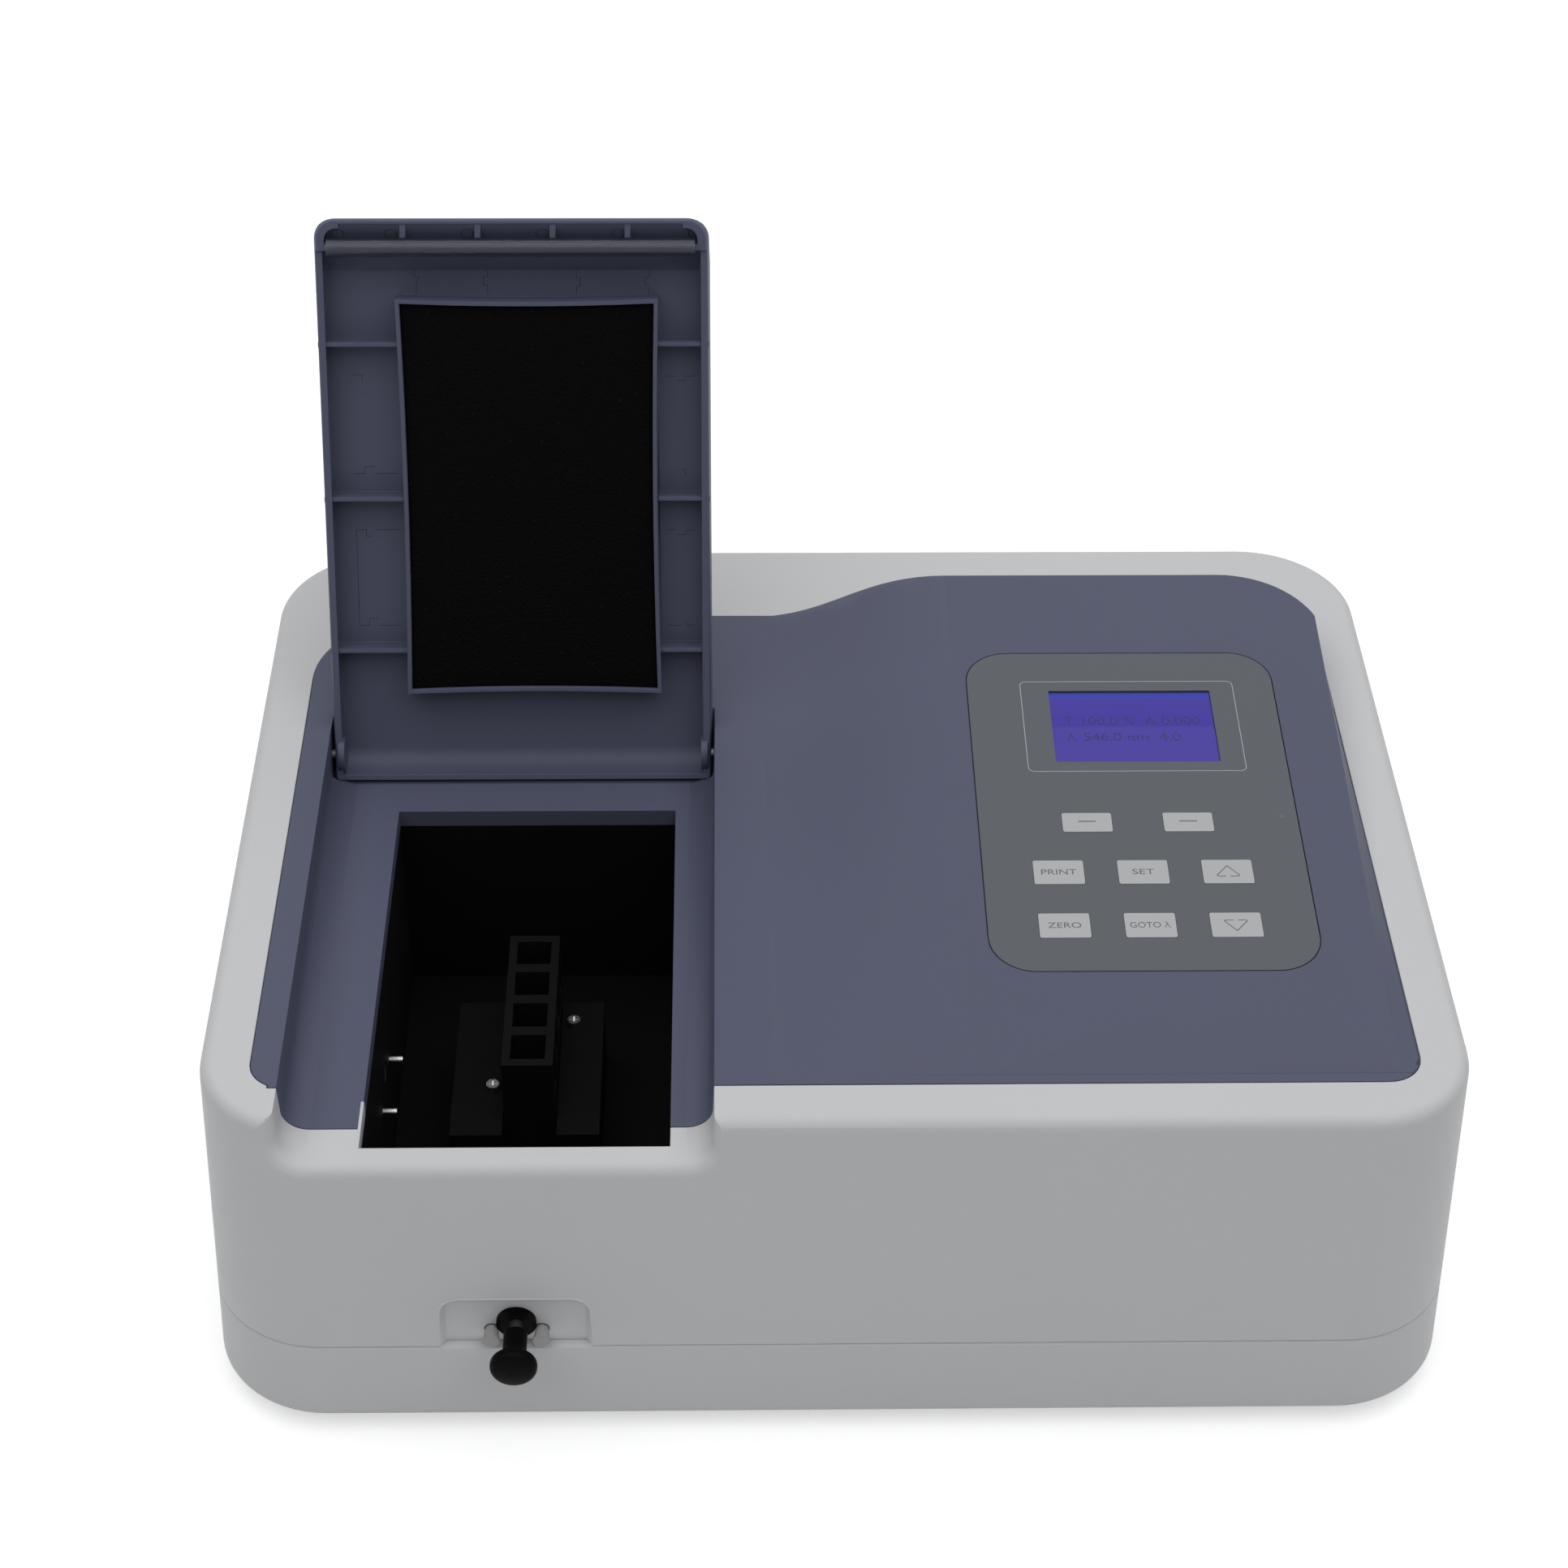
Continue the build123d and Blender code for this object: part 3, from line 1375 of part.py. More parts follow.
with BuildPart() as detector_housing:
    box_between(
        detector_left, liner_left - liner_wall, detector_front, detector_front + detector_length, base_top_z, detector_top_z
    )
    box_between(
        detector_left + detector_wall,
        liner_left - liner_wall - detector_wall,
        detector_front + detector_wall,
        detector_front + detector_length - detector_wall,
        base_top_z - 1,
        detector_top_z - detector_wall,
        Mode.SUBTRACT,
    )
    rod_along(left, liner_left, beam_y, beam_z, port_r, 10, Mode.SUBTRACT)
    for stud_y in stud_places:
        rod_along(left, liner_left, stud_y, stud_z, stud_r, 10, Mode.SUBTRACT)
detector_housing.part.label = "detector_housing"
export_step(detector_housing.part, "parts/detector_housing.step")

with BuildPart() as detector_board:
    box_between(diode_back_x - 1.6, diode_back_x, detector_front + 6, detector_front + detector_length - 6, base_top_z, detector_top_z - 6)
    rod_along(right, diode_back_x, beam_y, beam_z, diode_r, diode_length)
detector_board.part.label = "detector_board"
export_step(detector_board.part, "parts/detector_board.step")

with BuildPart() as monochromator_body:
    box_between(case_left, case_right, case_front, case_rear, base_top_z, case_top_z)
    rod_along(left, case_left + 1, beam_y, beam_z, port_r + 3, case_left + 1 - liner_right - liner_wall)
    box_between(
        case_left + case_wall,
        case_right - case_wall,
        case_front + case_wall,
        case_rear - case_wall,
        case_floor_z,
        case_top_z + 1,
        Mode.SUBTRACT,
    )
    rod_along(left, case_left + 10, beam_y, beam_z, port_r, 20, Mode.SUBTRACT)
    rod_along(left, case_left + 10, entrance_y, beam_z, port_r, 20, Mode.SUBTRACT)
    rod_along(up, table_x, table_y, base_top_z - 1, table_shaft_r + 1, case_wall + 2, Mode.SUBTRACT)
    for mirror_y in (focus_y, collimate_y):
        box_between(
            mirror_x + mirror_thickness,
            mirror_x + mirror_thickness + mirror_mount_thickness,
            mirror_y - mirror_size / 2,
            mirror_y + mirror_size / 2,
            case_floor_z - 1,
            beam_z + mirror_size / 2,
        )
monochromator_body.part.label = "monochromator_body"
export_step(monochromator_body.part, "parts/monochromator_body.step")

with BuildPart() as monochromator_cover:
    box_between(case_left, case_right, case_front, case_rear, case_top_z, case_top_z + cover_plate)
monochromator_cover.part.label = "monochromator_cover"
export_step(monochromator_cover.part, "parts/monochromator_cover.step")

with BuildPart() as slit_plates:
    for slit_y in (beam_y, entrance_y):
        box_between(
            case_left + case_wall,
            case_left + case_wall + slit_plate,
            slit_y - slit_size / 2,
            slit_y + slit_size / 2,
            beam_z - slit_size / 2,
            beam_z + slit_size / 2,
        )
        box_between(
            case_left,
            case_left + 2 * case_wall,
            slit_y - slit_width / 2,
            slit_y + slit_width / 2,
            beam_z - slit_height / 2,
            beam_z + slit_height / 2,
            Mode.SUBTRACT,
        )
slit_plates.part.label = "slit_plates"
export_step(slit_plates.part, "parts/slit_plates.step")

with BuildPart() as mirrors:
    for mirror_y in (focus_y, collimate_y):
        box_between(
            mirror_x,
            mirror_x + mirror_thickness,
            mirror_y - mirror_size / 2,
            mirror_y + mirror_size / 2,
            beam_z - mirror_size / 2,
            beam_z + mirror_size / 2,
        )
        with Locations((mirror_x - 115, mirror_y, beam_z)):
            Sphere(120, mode=Mode.SUBTRACT)
mirrors.part.label = "mirrors"
export_step(mirrors.part, "parts/mirrors.step")

motor_top_z = base_z
motor_bottom_z = base_z - motor_height
table_z = case_floor_z + table_lift

with BuildPart() as grating_motor:
    box_between(
        table_x - motor_size / 2,
        table_x + motor_size / 2,
        table_y - motor_size / 2,
        table_y + motor_size / 2,
        motor_bottom_z,
        motor_top_z,
    )
    rod_along(up, table_x, table_y, motor_bottom_z + 2, table_shaft_r + bearing_gap, motor_height, Mode.SUBTRACT)
grating_motor.part.label = "grating_motor"
export_step(grating_motor.part, "parts/grating_motor.step")

with BuildPart() as grating_table:
    rod_along(up, table_x, table_y, motor_bottom_z + 2 + bearing_gap, table_shaft_r, table_z - motor_bottom_z - 1)
    rod_along(up, table_x, table_y, table_z, table_r, table_height)
    box_between(
        table_x - grating_thickness - 3,
        table_x - grating_thickness,
        table_y - 9,
        table_y + 9,
        table_z + table_height - 1,
        beam_z + 8,
    )
grating_table.part.label = "grating_table"
export_step(grating_table.part, "parts/grating_table.step")

with BuildPart() as grating:
    box_between(
        table_x - grating_thickness,
        table_x,
        table_y - grating_size / 2,
        table_y + grating_size / 2,
        beam_z - grating_size / 2,
        beam_z + grating_size / 2,
    )
grating.part.label = "grating"
export_step(grating.part, "parts/grating.step")

with BuildPart() as filter_motor:
    rod_along(right, lamp_house_right, wheel_y, beam_z, wheel_motor_r, wheel_x - 2 - lamp_house_right)
    rod_along(right, lamp_house_right + 4, wheel_y, beam_z, wheel_shaft_r + bearing_gap, 20, Mode.SUBTRACT)
filter_motor.part.label = "filter_motor"
export_step(filter_motor.part, "parts/filter_motor.step")

with BuildPart() as filter_wheel:
    rod_along(right, wheel_x, wheel_y, beam_z, wheel_r, wheel_thickness)
    rod_along(right, lamp_house_right + 4 + bearing_gap, wheel_y, beam_z, wheel_shaft_r, 16)
    with BuildSketch(Plane(origin=(wheel_x - 1, wheel_y, beam_z), x_dir=(0, 1, 0), z_dir=(1, 0, 0))):
        with PolarLocations(wheel_offset, 6, start_angle=180):
            Circle(filter_r)
    extrude(amount=wheel_thickness + 2, mode=Mode.SUBTRACT)
filter_wheel.part.label = "filter_wheel"
export_step(filter_wheel.part, "parts/filter_wheel.step")

with BuildPart() as filter_glasses:
    with BuildSketch(Plane(origin=(wheel_x, wheel_y, beam_z), x_dir=(0, 1, 0), z_dir=(1, 0, 0))):
        with PolarLocations(wheel_offset, 6, start_angle=180):
            Circle(filter_r)
    extrude(amount=wheel_thickness)
filter_glasses.part.label = "filter_glasses"
export_step(filter_glasses.part, "parts/filter_glasses.step")

with BuildPart() as lamp_house:
    box_between(
        lamp_house_left, lamp_house_right, lamp_house_front, lamp_house_rear, base_top_z, lamp_house_top_z
    )
    box_between(
        lamp_house_left + lamp_house_wall,
        lamp_house_right - lamp_house_wall,
        lamp_house_front + lamp_house_wall,
        lamp_house_rear - lamp_house_wall,
        base_top_z - 1,
        lamp_house_top_z - lamp_house_wall,
        Mode.SUBTRACT,
    )
    rod_along(right, lamp_house_right - 10, entrance_y, beam_z, filter_r, 20, Mode.SUBTRACT)
    with BuildSketch(Plane.XY.offset(lamp_house_top_z - 5)):
        with Locations(((lamp_house_left + lamp_house_right) / 2, (lamp_house_front + lamp_house_rear) / 2)):
            with GridLocations(slot_pitch, 1, 5, 1):
                SlotOverall(slot_length, slot_width, rotation=90)
    extrude(amount=10, mode=Mode.SUBTRACT)
lamp_house.part.label = "lamp_house"
export_step(lamp_house.part, "parts/lamp_house.step")

with BuildPart() as lamp_socket:
    box_between(
        lamp_x - socket_size / 2,
        lamp_x + socket_size / 2,
        entrance_y - socket_size / 2,
        entrance_y + socket_size / 2,
        base_top_z,
        socket_top_z,
    )
    for side in (-1, 1):
        rod_along(down, lamp_x, entrance_y + side * 2, socket_top_z + 1, 0.6, 9, Mode.SUBTRACT)
lamp_socket.part.label = "lamp_socket"
export_step(lamp_socket.part, "parts/lamp_socket.step")

with BuildPart() as halogen_lamp:
    rod_along(up, lamp_x, entrance_y, socket_top_z + 1, bulb_r, bulb_height)
    fillet(halogen_lamp.edges().group_by(Axis.Z)[-1], bulb_r - 0.5)
    for side in (-1, 1):
        rod_along(down, lamp_x, entrance_y + side * 2, socket_top_z + 1.5, 0.6, 8)
halogen_lamp.part.label = "halogen_lamp"
export_step(halogen_lamp.part, "parts/halogen_lamp.step")

# Electronics on the tray
standoff_top_z = floor_z + standoff_height
board_thickness = 1.6

with BuildPart() as power_supply:
    box_between(
        supply_left,
        supply_left + supply_width,
        supply_front,
        supply_front + supply_length,
        standoff_top_z,
        standoff_top_z + supply_height,
    )
    with BuildSketch(Plane.XY.offset(standoff_top_z + supply_height)):
        with Locations((supply_left + supply_width / 2, supply_front + supply_length / 2)):
            with GridLocations(slot_pitch, 1, 6, 1):
                SlotOverall(2 * slot_length, slot_width, rotation=90)
    extrude(amount=-4, mode=Mode.SUBTRACT)
power_supply.part.label = "power_supply"
export_step(power_supply.part, "parts/power_supply.step")

with BuildPart() as main_board:
    box_between(
        board_left,
        board_left + board_width,
        board_front,
        board_front + board_length,
        standoff_top_z,
        standoff_top_z + board_thickness,
    )
    with BuildSketch(Plane.XY.offset(standoff_top_z + board_thickness)):
        with Locations((board_left + 30, board_front + 60)):
            Rectangle(20, 20)
        with Locations((board_left + 60, board_front + 40)):
            Rectangle(12, 8)
        with Locations((board_left + 60, board_front + 70)):
            Rectangle(12, 8)
    extrude(amount=2.4)
    with BuildSketch(Plane.XY.offset(standoff_top_z + board_thickness)):
        with Locations((board_left + 24, board_front + 108)):
            Rectangle(30, 9)
        with Locations((board_left + 62, board_front + 108)):
            Rectangle(22, 9)
    extrude(amount=10)
    with BuildSketch(Plane.XY.offset(standoff_top_z + board_thickness)):
        with Locations((board_left + 20, board_front + 24), (board_left + 34, board_front + 24)):
            Circle(5)
    extrude(amount=14)
main_board.part.label = "main_board"
export_step(main_board.part, "parts/main_board.step")

# Rear plate with the fan, the ports, the switch and the mains inlet
window_mid_z = (window_bottom_z + window_top_z) / 2
fan_size = 50.0
fan_depth = 15.0
fan_x = window_left + 42.0
fan_bore_r = 23.4
fan_hub_r = 11.5
fan_rotor_r = 22.6
fan_back = 3.0
port_9_x = window_left + 98.0
port_25_x = window_left + 126.0
port_9_z = window_mid_z + 16
port_25_z = window_mid_z - 14
shell_height = 9.0
shell_9_width = 18.0
shell_25_width = 40.0
flange_height = 12.6
flange_9_width = 31.0
flange_25_width = 53.0
inlet_x = window_right - 26.0
inlet_z = window_mid_z - 12
inlet_width = 27.4
inlet_height = 19.8
inlet_flange = 3.0
inlet_depth = 22.0
socket_width = 24.0
socket_height = 16.4
socket_depth = 16.0
switch_x = inlet_x
switch_z = window_mid_z + 18
switch_width = 19.0
switch_height = 12.6
switch_depth = 16.0
switch_frame = 1.8
rocker_width = 15.4
rocker_length = 10.4
rocker_tilt = 7.0
rocker_gap = 0.15
rocker_axis_y = window_face_y + switch_frame - 2.0


def rear_plane(y):
    """A plane that faces the rear, drawn with Z up and X to the left."""
    return Plane(origin=(0, y, 0), x_dir=(-1, 0, 0), z_dir=(0, 1, 0))


with BuildPart() as rear_plate:
    box_between(plate_left, plate_right, plate_inner_y, window_face_y, plate_bottom_z, plate_top_z)
    with BuildSketch(rear_plane(plate_inner_y - 1)):
        with Locations((-fan_x, window_mid_z)):
            with GridLocations(1, 5.6, 1, 7):
                SlotOverall(34, slot_width)
        with Locations((-port_9_x, port_9_z)):
            Rectangle(shell_9_width + 1, shell_height + 1)
        with Locations((-port_25_x, port_25_z)):
            Rectangle(shell_25_width + 1, shell_height + 1)
        with Locations((-inlet_x, inlet_z)):
            Rectangle(inlet_width, inlet_height)
        with Locations((-switch_x, switch_z)):
            Rectangle(switch_width, switch_height)
        for screw_x, screw_z in plate_screws_at:
            with Locations((-screw_x, screw_z)):
                Circle(small_screw_r)
    extrude(amount=plate_thickness + 2, mode=Mode.SUBTRACT)
rear_plate.part.label = "rear_plate"
export_step(rear_plate.part, "parts/rear_plate.step")

with BuildPart() as fan_frame:
    box_between(
        fan_x - fan_size / 2,
        fan_x + fan_size / 2,
        plate_inner_y - fan_depth,
        plate_inner_y,
        window_mid_z - fan_size / 2,
        window_mid_z + fan_size / 2,
    )
    rod_along(front, fan_x, plate_inner_y + 1, window_mid_z, fan_bore_r, fan_depth + 2, Mode.SUBTRACT)
    rod_along(front, fan_x, plate_inner_y, window_mid_z, fan_hub_r, fan_back)
    for across in (0, 90):
        with Locations(Location((fan_x, plate_inner_y - fan_back / 2, window_mid_z), (0, across + 45, 0))):
            Box(2 * fan_bore_r + 1, fan_back, 3)
    rod_along(front, fan_x, plate_inner_y, window_mid_z, wheel_shaft_r + bearing_gap, fan_back, Mode.SUBTRACT)
fan_frame.part.label = "fan_frame"
export_step(fan_frame.part, "parts/fan_frame.step")

with BuildPart() as fan_rotor:
    rod_along(front, fan_x, plate_inner_y - fan_back - 0.3, window_mid_z, fan_hub_r, fan_depth - fan_back - 1)
    rod_along(front, fan_x, plate_inner_y - 0.5, window_mid_z, wheel_shaft_r, fan_back)
    for blade in range(7):
        with Locations(Location((fan_x, plate_inner_y - fan_depth / 2 - 1, window_mid_z), (0, blade * 360 / 7, 0))):
            with Locations(Location(((fan_hub_r + fan_rotor_r) / 2 - 0.5, 0, 0), (35, 0, 0))):
                Box(fan_rotor_r - fan_hub_r + 1, 11, 1)
fan_rotor.part.label = "fan_rotor"
export_step(fan_rotor.part, "parts/fan_rotor.step")

with BuildPart() as data_ports:
    for x, z, shell, flange in [
        (port_9_x, port_9_z, shell_9_width, flange_9_width),
        (port_25_x, port_25_z, shell_25_width, flange_25_width),
    ]:
        box_between(
            x - flange / 2, x + flange / 2, plate_inner_y - 1, plate_inner_y, z - flange_height / 2, z + flange_height / 2
        )
        box_between(
            x - shell / 2, x + shell / 2, plate_inner_y - 10, plate_inner_y + 6, z - shell_height / 2, z + shell_height / 2
        )
data_ports.part.label = "data_ports"
export_step(data_ports.part, "parts/data_ports.step")

with BuildPart() as power_inlet:
    box_between(
        inlet_x - inlet_width / 2,
        inlet_x + inlet_width / 2,
        window_face_y - inlet_depth,
        window_face_y + 1,
        inlet_z - inlet_height / 2,
        inlet_z + inlet_height / 2,
    )
    box_between(
        inlet_x - inlet_width / 2 - inlet_flange,
        inlet_x + inlet_width / 2 + inlet_flange,
        window_face_y,
        window_face_y + 2.4,
        inlet_z - inlet_height / 2 - inlet_flange,
        inlet_z + inlet_height / 2 + inlet_flange,
    )
    box_between(
        inlet_x - socket_width / 2,
        inlet_x + socket_width / 2,
        window_face_y + 2.4 - socket_depth,
        window_face_y + 5,
        inlet_z - socket_height / 2,
        inlet_z + socket_height / 2,
        Mode.SUBTRACT,
    )
    for x, z in [(-7, -2), (0, 2), (7, -2)]:
        box_between(
            inlet_x + x - 1,
            inlet_x + x + 1,
            window_face_y + 2 - socket_depth,
            window_face_y - 2,
            inlet_z + z - 2,
            inlet_z + z + 2,
        )
power_inlet.part.label = "power_inlet"
export_step(power_inlet.part, "parts/power_inlet.step")

with BuildPart() as power_switch:
    box_between(
        switch_x - switch_width / 2,
        switch_x + switch_width / 2,
        window_face_y - switch_depth,
        window_face_y + 1,
        switch_z - switch_height / 2,
        switch_z + switch_height / 2,
    )
    box_between(
        switch_x - switch_width / 2 - 1,
        switch_x + switch_width / 2 + 1,
        window_face_y,
        window_face_y + switch_frame,
        switch_z - switch_height / 2 - 1,
        switch_z + switch_height / 2 + 1,
    )
    box_between(
        switch_x - rocker_width / 2 - rocker_gap,
        switch_x + rocker_width / 2 + rocker_gap,
        window_face_y - 8,
        window_face_y + 5,
        switch_z - rocker_length / 2 - rocker_gap - 0.2,
        switch_z + rocker_length / 2 + rocker_gap + 0.2,
        Mode.SUBTRACT,
    )
    rod_along(right, switch_x - 9, rocker_axis_y, switch_z, 1 + bearing_gap, 18, Mode.SUBTRACT)
power_switch.part.label = "power_switch"
export_step(power_switch.part, "parts/power_switch.step")

rocker_plane = Plane(
    origin=(switch_x - rocker_width / 2, rocker_axis_y, switch_z),
    x_dir=(0, cos(radians(rocker_tilt)), -sin(radians(rocker_tilt))),
    z_dir=(1, 0, 0),
)

with BuildPart() as switch_rocker:
    with BuildSketch(rocker_plane):
        with BuildLine():
            Polyline(
                (-3.6, -2),
                (0, -rocker_length / 2 + 0.2),
                (3.2, -rocker_length / 2 + 0.5),
                (1.6, 0),
                (3.2, rocker_length / 2 - 0.5),
                (0, rocker_length / 2 - 0.2),
                (-3.6, 2),
                close=True,
            )
        make_face()
    extrude(amount=rocker_width)
    rod_along(right, switch_x - 8.6, rocker_axis_y, switch_z, 1, 17.2)
switch_rocker.part.label = "switch_rocker"
export_step(switch_rocker.part, "parts/switch_rocker.step")

with BuildPart() as plate_screws:
    for screw_x, screw_z in plate_screws_at:
        rod_along(front, screw_x, plate_inner_y, screw_z, small_head_r, small_head_height)
        rod_along(rear, screw_x, plate_inner_y - 1, screw_z, small_screw_r, plate_thickness + plate_screw_bite + 1)
plate_screws.part.label = "plate_screws"
export_step(plate_screws.part, "parts/plate_screws.step")
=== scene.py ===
# %% [markdown]
# # A visible spectrophotometer
# This lesson dresses a bench instrument that was drawn in CAD. Its hard parts
# come in as a fixed frame, already in place and in metres. What is left for
# Blender is light, a camera, finishes, and the few things that CAD draws
# badly: foam, print on the keys, the dots of the display and small marks.

# %% Load the frame
from math import atan, atan2, cos, degrees, radians, sin, tan, tau

import bmesh
import bpy
from mathutils import Matrix, Vector, noise
from mathutils.bvhtree import BVHTree


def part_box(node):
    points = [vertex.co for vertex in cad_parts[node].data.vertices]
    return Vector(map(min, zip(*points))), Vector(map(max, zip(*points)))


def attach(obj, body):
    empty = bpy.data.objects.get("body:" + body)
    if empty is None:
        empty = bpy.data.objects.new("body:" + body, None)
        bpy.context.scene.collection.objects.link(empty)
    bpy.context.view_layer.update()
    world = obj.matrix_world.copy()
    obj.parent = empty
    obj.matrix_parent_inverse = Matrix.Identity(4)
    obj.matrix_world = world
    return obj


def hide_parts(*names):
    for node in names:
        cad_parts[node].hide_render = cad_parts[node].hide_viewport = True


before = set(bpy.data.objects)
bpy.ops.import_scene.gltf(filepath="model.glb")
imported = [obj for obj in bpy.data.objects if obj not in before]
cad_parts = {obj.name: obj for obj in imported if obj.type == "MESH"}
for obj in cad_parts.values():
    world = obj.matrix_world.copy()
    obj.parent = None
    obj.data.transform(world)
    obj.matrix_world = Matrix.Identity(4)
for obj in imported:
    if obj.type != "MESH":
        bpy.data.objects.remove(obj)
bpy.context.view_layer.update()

# %% [markdown]
# ## Where things are
# A few sizes of the instrument are worth names, because several pieces are
# placed from them. Two frames stand for the console's slope and the open lid,
# so that what lies on them can be drawn flat and then put in place.

# %% Named places on the instrument
# MM turns a length in millimetres into metres
MM = 0.001
wall_lean = tan(radians(2.3))
body_depth, body_rise, knob_reach = 333, 138.5, 25.3
panel_setback, panel_depth = 18.8, 266.7
console_rise = 21.0 * MM
hinge_depth, lid_wall = 10.0, 2.2
rim_z = 145.5 * MM
front_y = -(body_depth + body_rise * wall_lean - knob_reach) / 2 * MM
console_front = front_y + (panel_setback + 4.0) * MM
console_rear = front_y + (panel_setback + panel_depth - 2.0) * MM
console_slope = atan(console_rise / (console_rear - console_front))
hinge_y = front_y + 210.5 * MM
hinge_z = rim_z - hinge_depth * MM
open_angle = radians(111.4)


def frame_matrix(origin, z_axis):
    """A frame whose X axis runs to the right and whose Z axis is given."""
    x_axis = Vector((1, 0, 0))
    y_axis = Vector(z_axis).cross(x_axis)
    turn = Matrix((x_axis, y_axis, Vector(z_axis))).transposed()
    return Matrix.Translation(origin) @ turn.to_4x4()


on_console = frame_matrix(
    (0, console_front, rim_z), (0, -sin(console_slope), cos(console_slope))
)
on_lid = frame_matrix((0, hinge_y, hinge_z), (0, sin(open_angle), cos(open_angle)))
print("console slope in degrees:", round(degrees(console_slope), 2))

# %% [markdown]
# ## The camera
# The picture was taken from in front and well above, with a long lens: the
# sides of the housing lean together only a little. The camera looks down by
# 38.7 degrees, a touch to the right, and is rolled by 0.6 degrees. Blender
# wants the view as an angle and the pose as a matrix. The angle comes from the
# focal length in pixels, and the matrix from the three turns.

# %% Place the camera
pitch = radians(38.709)
yaw = radians(-1.2917)
roll = radians(0.5782)
half_frame_pixels = 966
focal_pixels = 3949
level_ahead = Matrix.Rotation(yaw, 3, "Z") @ Vector((0, 1, 0))
level_right = Matrix.Rotation(yaw, 3, "Z") @ Vector((1, 0, 0))
upright = Vector((0, 0, 1))
ahead = cos(pitch) * level_ahead - sin(pitch) * upright
above = sin(pitch) * level_ahead + cos(pitch) * upright
camera_right = cos(roll) * level_right + sin(roll) * above
camera_up = -sin(roll) * level_right + cos(roll) * above
camera_turn = Matrix((camera_right, camera_up, -ahead)).transposed()
camera_place = Vector((-36.3 * MM, front_y - 750.7 * MM, rim_z + 745 * MM))
camera_data = bpy.data.cameras.new("camera")
camera_data.sensor_fit = "HORIZONTAL"
camera_data.angle = 2 * atan(half_frame_pixels / focal_pixels)
camera_data.clip_start = 0.05
camera = bpy.data.objects.new("camera", camera_data)
camera.matrix_world = Matrix.Translation(camera_place) @ camera_turn.to_4x4()
bpy.context.scene.collection.objects.link(camera)
bpy.context.scene.camera = camera
print("camera at", [round(v, 3) for v in camera_place])

# %% [markdown]
# ## Shader maths in plain Python
# A node tree is hard to read as a list of links. Here a small class wraps a
# socket, and its operators add the Math nodes, so that a mask is written like
# a sum. A second class holds a tree. Its single `node` method makes any node:
# settings first, then the values or links of its sockets.

# %% A value that changes over a surface
class Value:
    """A socket's number, with operators that add Math nodes."""

    def __init__(self, owner, socket):
        self.owner = owner
        self.socket = socket

    def maths(self, operation, first, second=0.0):
        return self.owner.node("ShaderNodeMath", {"operation": operation}, [first, second])

    def __add__(self, other):
        return self.maths("ADD", self, other)

    def __radd__(self, other):
        return self.maths("ADD", other, self)

    def __rsub__(self, other):
        return self.maths("SUBTRACT", other, self)

    def __mul__(self, other):
        return self.maths("MULTIPLY", self, other)

    def __rmul__(self, other):
        return self.maths("MULTIPLY", other, self)

    def __gt__(self, other):
        return self.maths("GREATER_THAN", self, other)


# %% A tree of nodes
class Tree:
    """A node tree, and what adds nodes to it."""

    def __init__(self, tree):
        self.tree = tree

    def feed(self, node, socket, value):
        """Gives a socket a number, a colour or a link."""
        if isinstance(value, Value):
            self.tree.links.new(value.socket, node.inputs[socket])
        else:
            node.inputs[socket].default_value = value

    def node(self, kind, settings=None, inputs=None, output=0):
        """Any node: its settings are made first, then its sockets."""
        made = self.tree.nodes.new(kind)
        for name, setting in (settings or {}).items():
            setattr(made, name, setting)
        sockets = inputs or {}
        if isinstance(sockets, list):
            sockets = dict(enumerate(sockets))
        for socket, value in sockets.items():
            self.feed(made, socket, value)
        return Value(self, made.outputs[output])

    def shown(self):
        """1 on a ray that shows the surround: seen, mirrored or through glass."""
        hidden = 1.0
        for ray in ["Is Camera Ray", "Is Glossy Ray", "Is Transmission Ray"]:
            hidden = hidden * (1 - self.node("ShaderNodeLightPath", output=ray))
        return 1 - hidden


# %% [markdown]
# A finish is one material. It starts from Blender's Principled shader, and
# its methods are the few patterns that most surfaces share: a cloudy grain, a
# blend of two colours, a change of tone and a bump.

# %% A finish, which is one material
class Finish(Tree):
    """A Principled material and the nodes that feed it."""

    def __init__(self, name, color, roughness, metallic=0.0, **constants):
        self.material = bpy.data.materials.new(name)
        self.material.use_nodes = True
        super().__init__(self.material.node_tree)
        self.shader = self.tree.nodes["Principled BSDF"]
        self.color = color
        self.feed(self.shader, "Base Color", (*color, 1))
        self.feed(self.shader, "Roughness", roughness)
        self.feed(self.shader, "Metallic", metallic)
        for socket, amount in constants.items():
            words = socket.replace("_", " ").title().replace("Ior", "IOR")
            self.feed(self.shader, words, amount)

    def place(self):
        """Position on the object, in metres."""
        return self.node("ShaderNodeTexCoord", output="Object")

    def grain(self, size, detail=2.0, longer=1.0):
        """Noise from 0 to 1, with lumps of a size in metres, some times longer along X."""
        spot = self.node(
            "ShaderNodeMapping", inputs={"Vector": self.place(), "Scale": (1 / longer, 1, 1)}
        )
        return self.node(
            "ShaderNodeTexNoise",
            inputs={"Vector": spot, "Scale": 1 / size, "Detail": detail, "Roughness": 0.5},
        )

    def blend(self, mask, first, second):
        """One colour where the mask is 0 and another where it is 1."""
        # The Mix node takes colours at its inputs 6 and 7 and gives one at its output 2
        return self.node(
            "ShaderNodeMix", {"data_type": "RGBA"}, {0: mask, 6: first, 7: second}, output=2
        )

    def shade(self, mask, darker):
        """Base colour that falls to a share of itself where the mask is 1."""
        low = (*[channel * darker for channel in self.color], 1)
        self.feed(self.shader, "Base Color", self.blend(mask, (*self.color, 1), low))

    def emboss(self, height, depth):
        """Bump of a depth in metres from a height from 0 to 1."""
        bump = self.node("ShaderNodeBump", inputs={"Height": height, "Distance": depth})
        self.feed(self.shader, "Normal", bump)


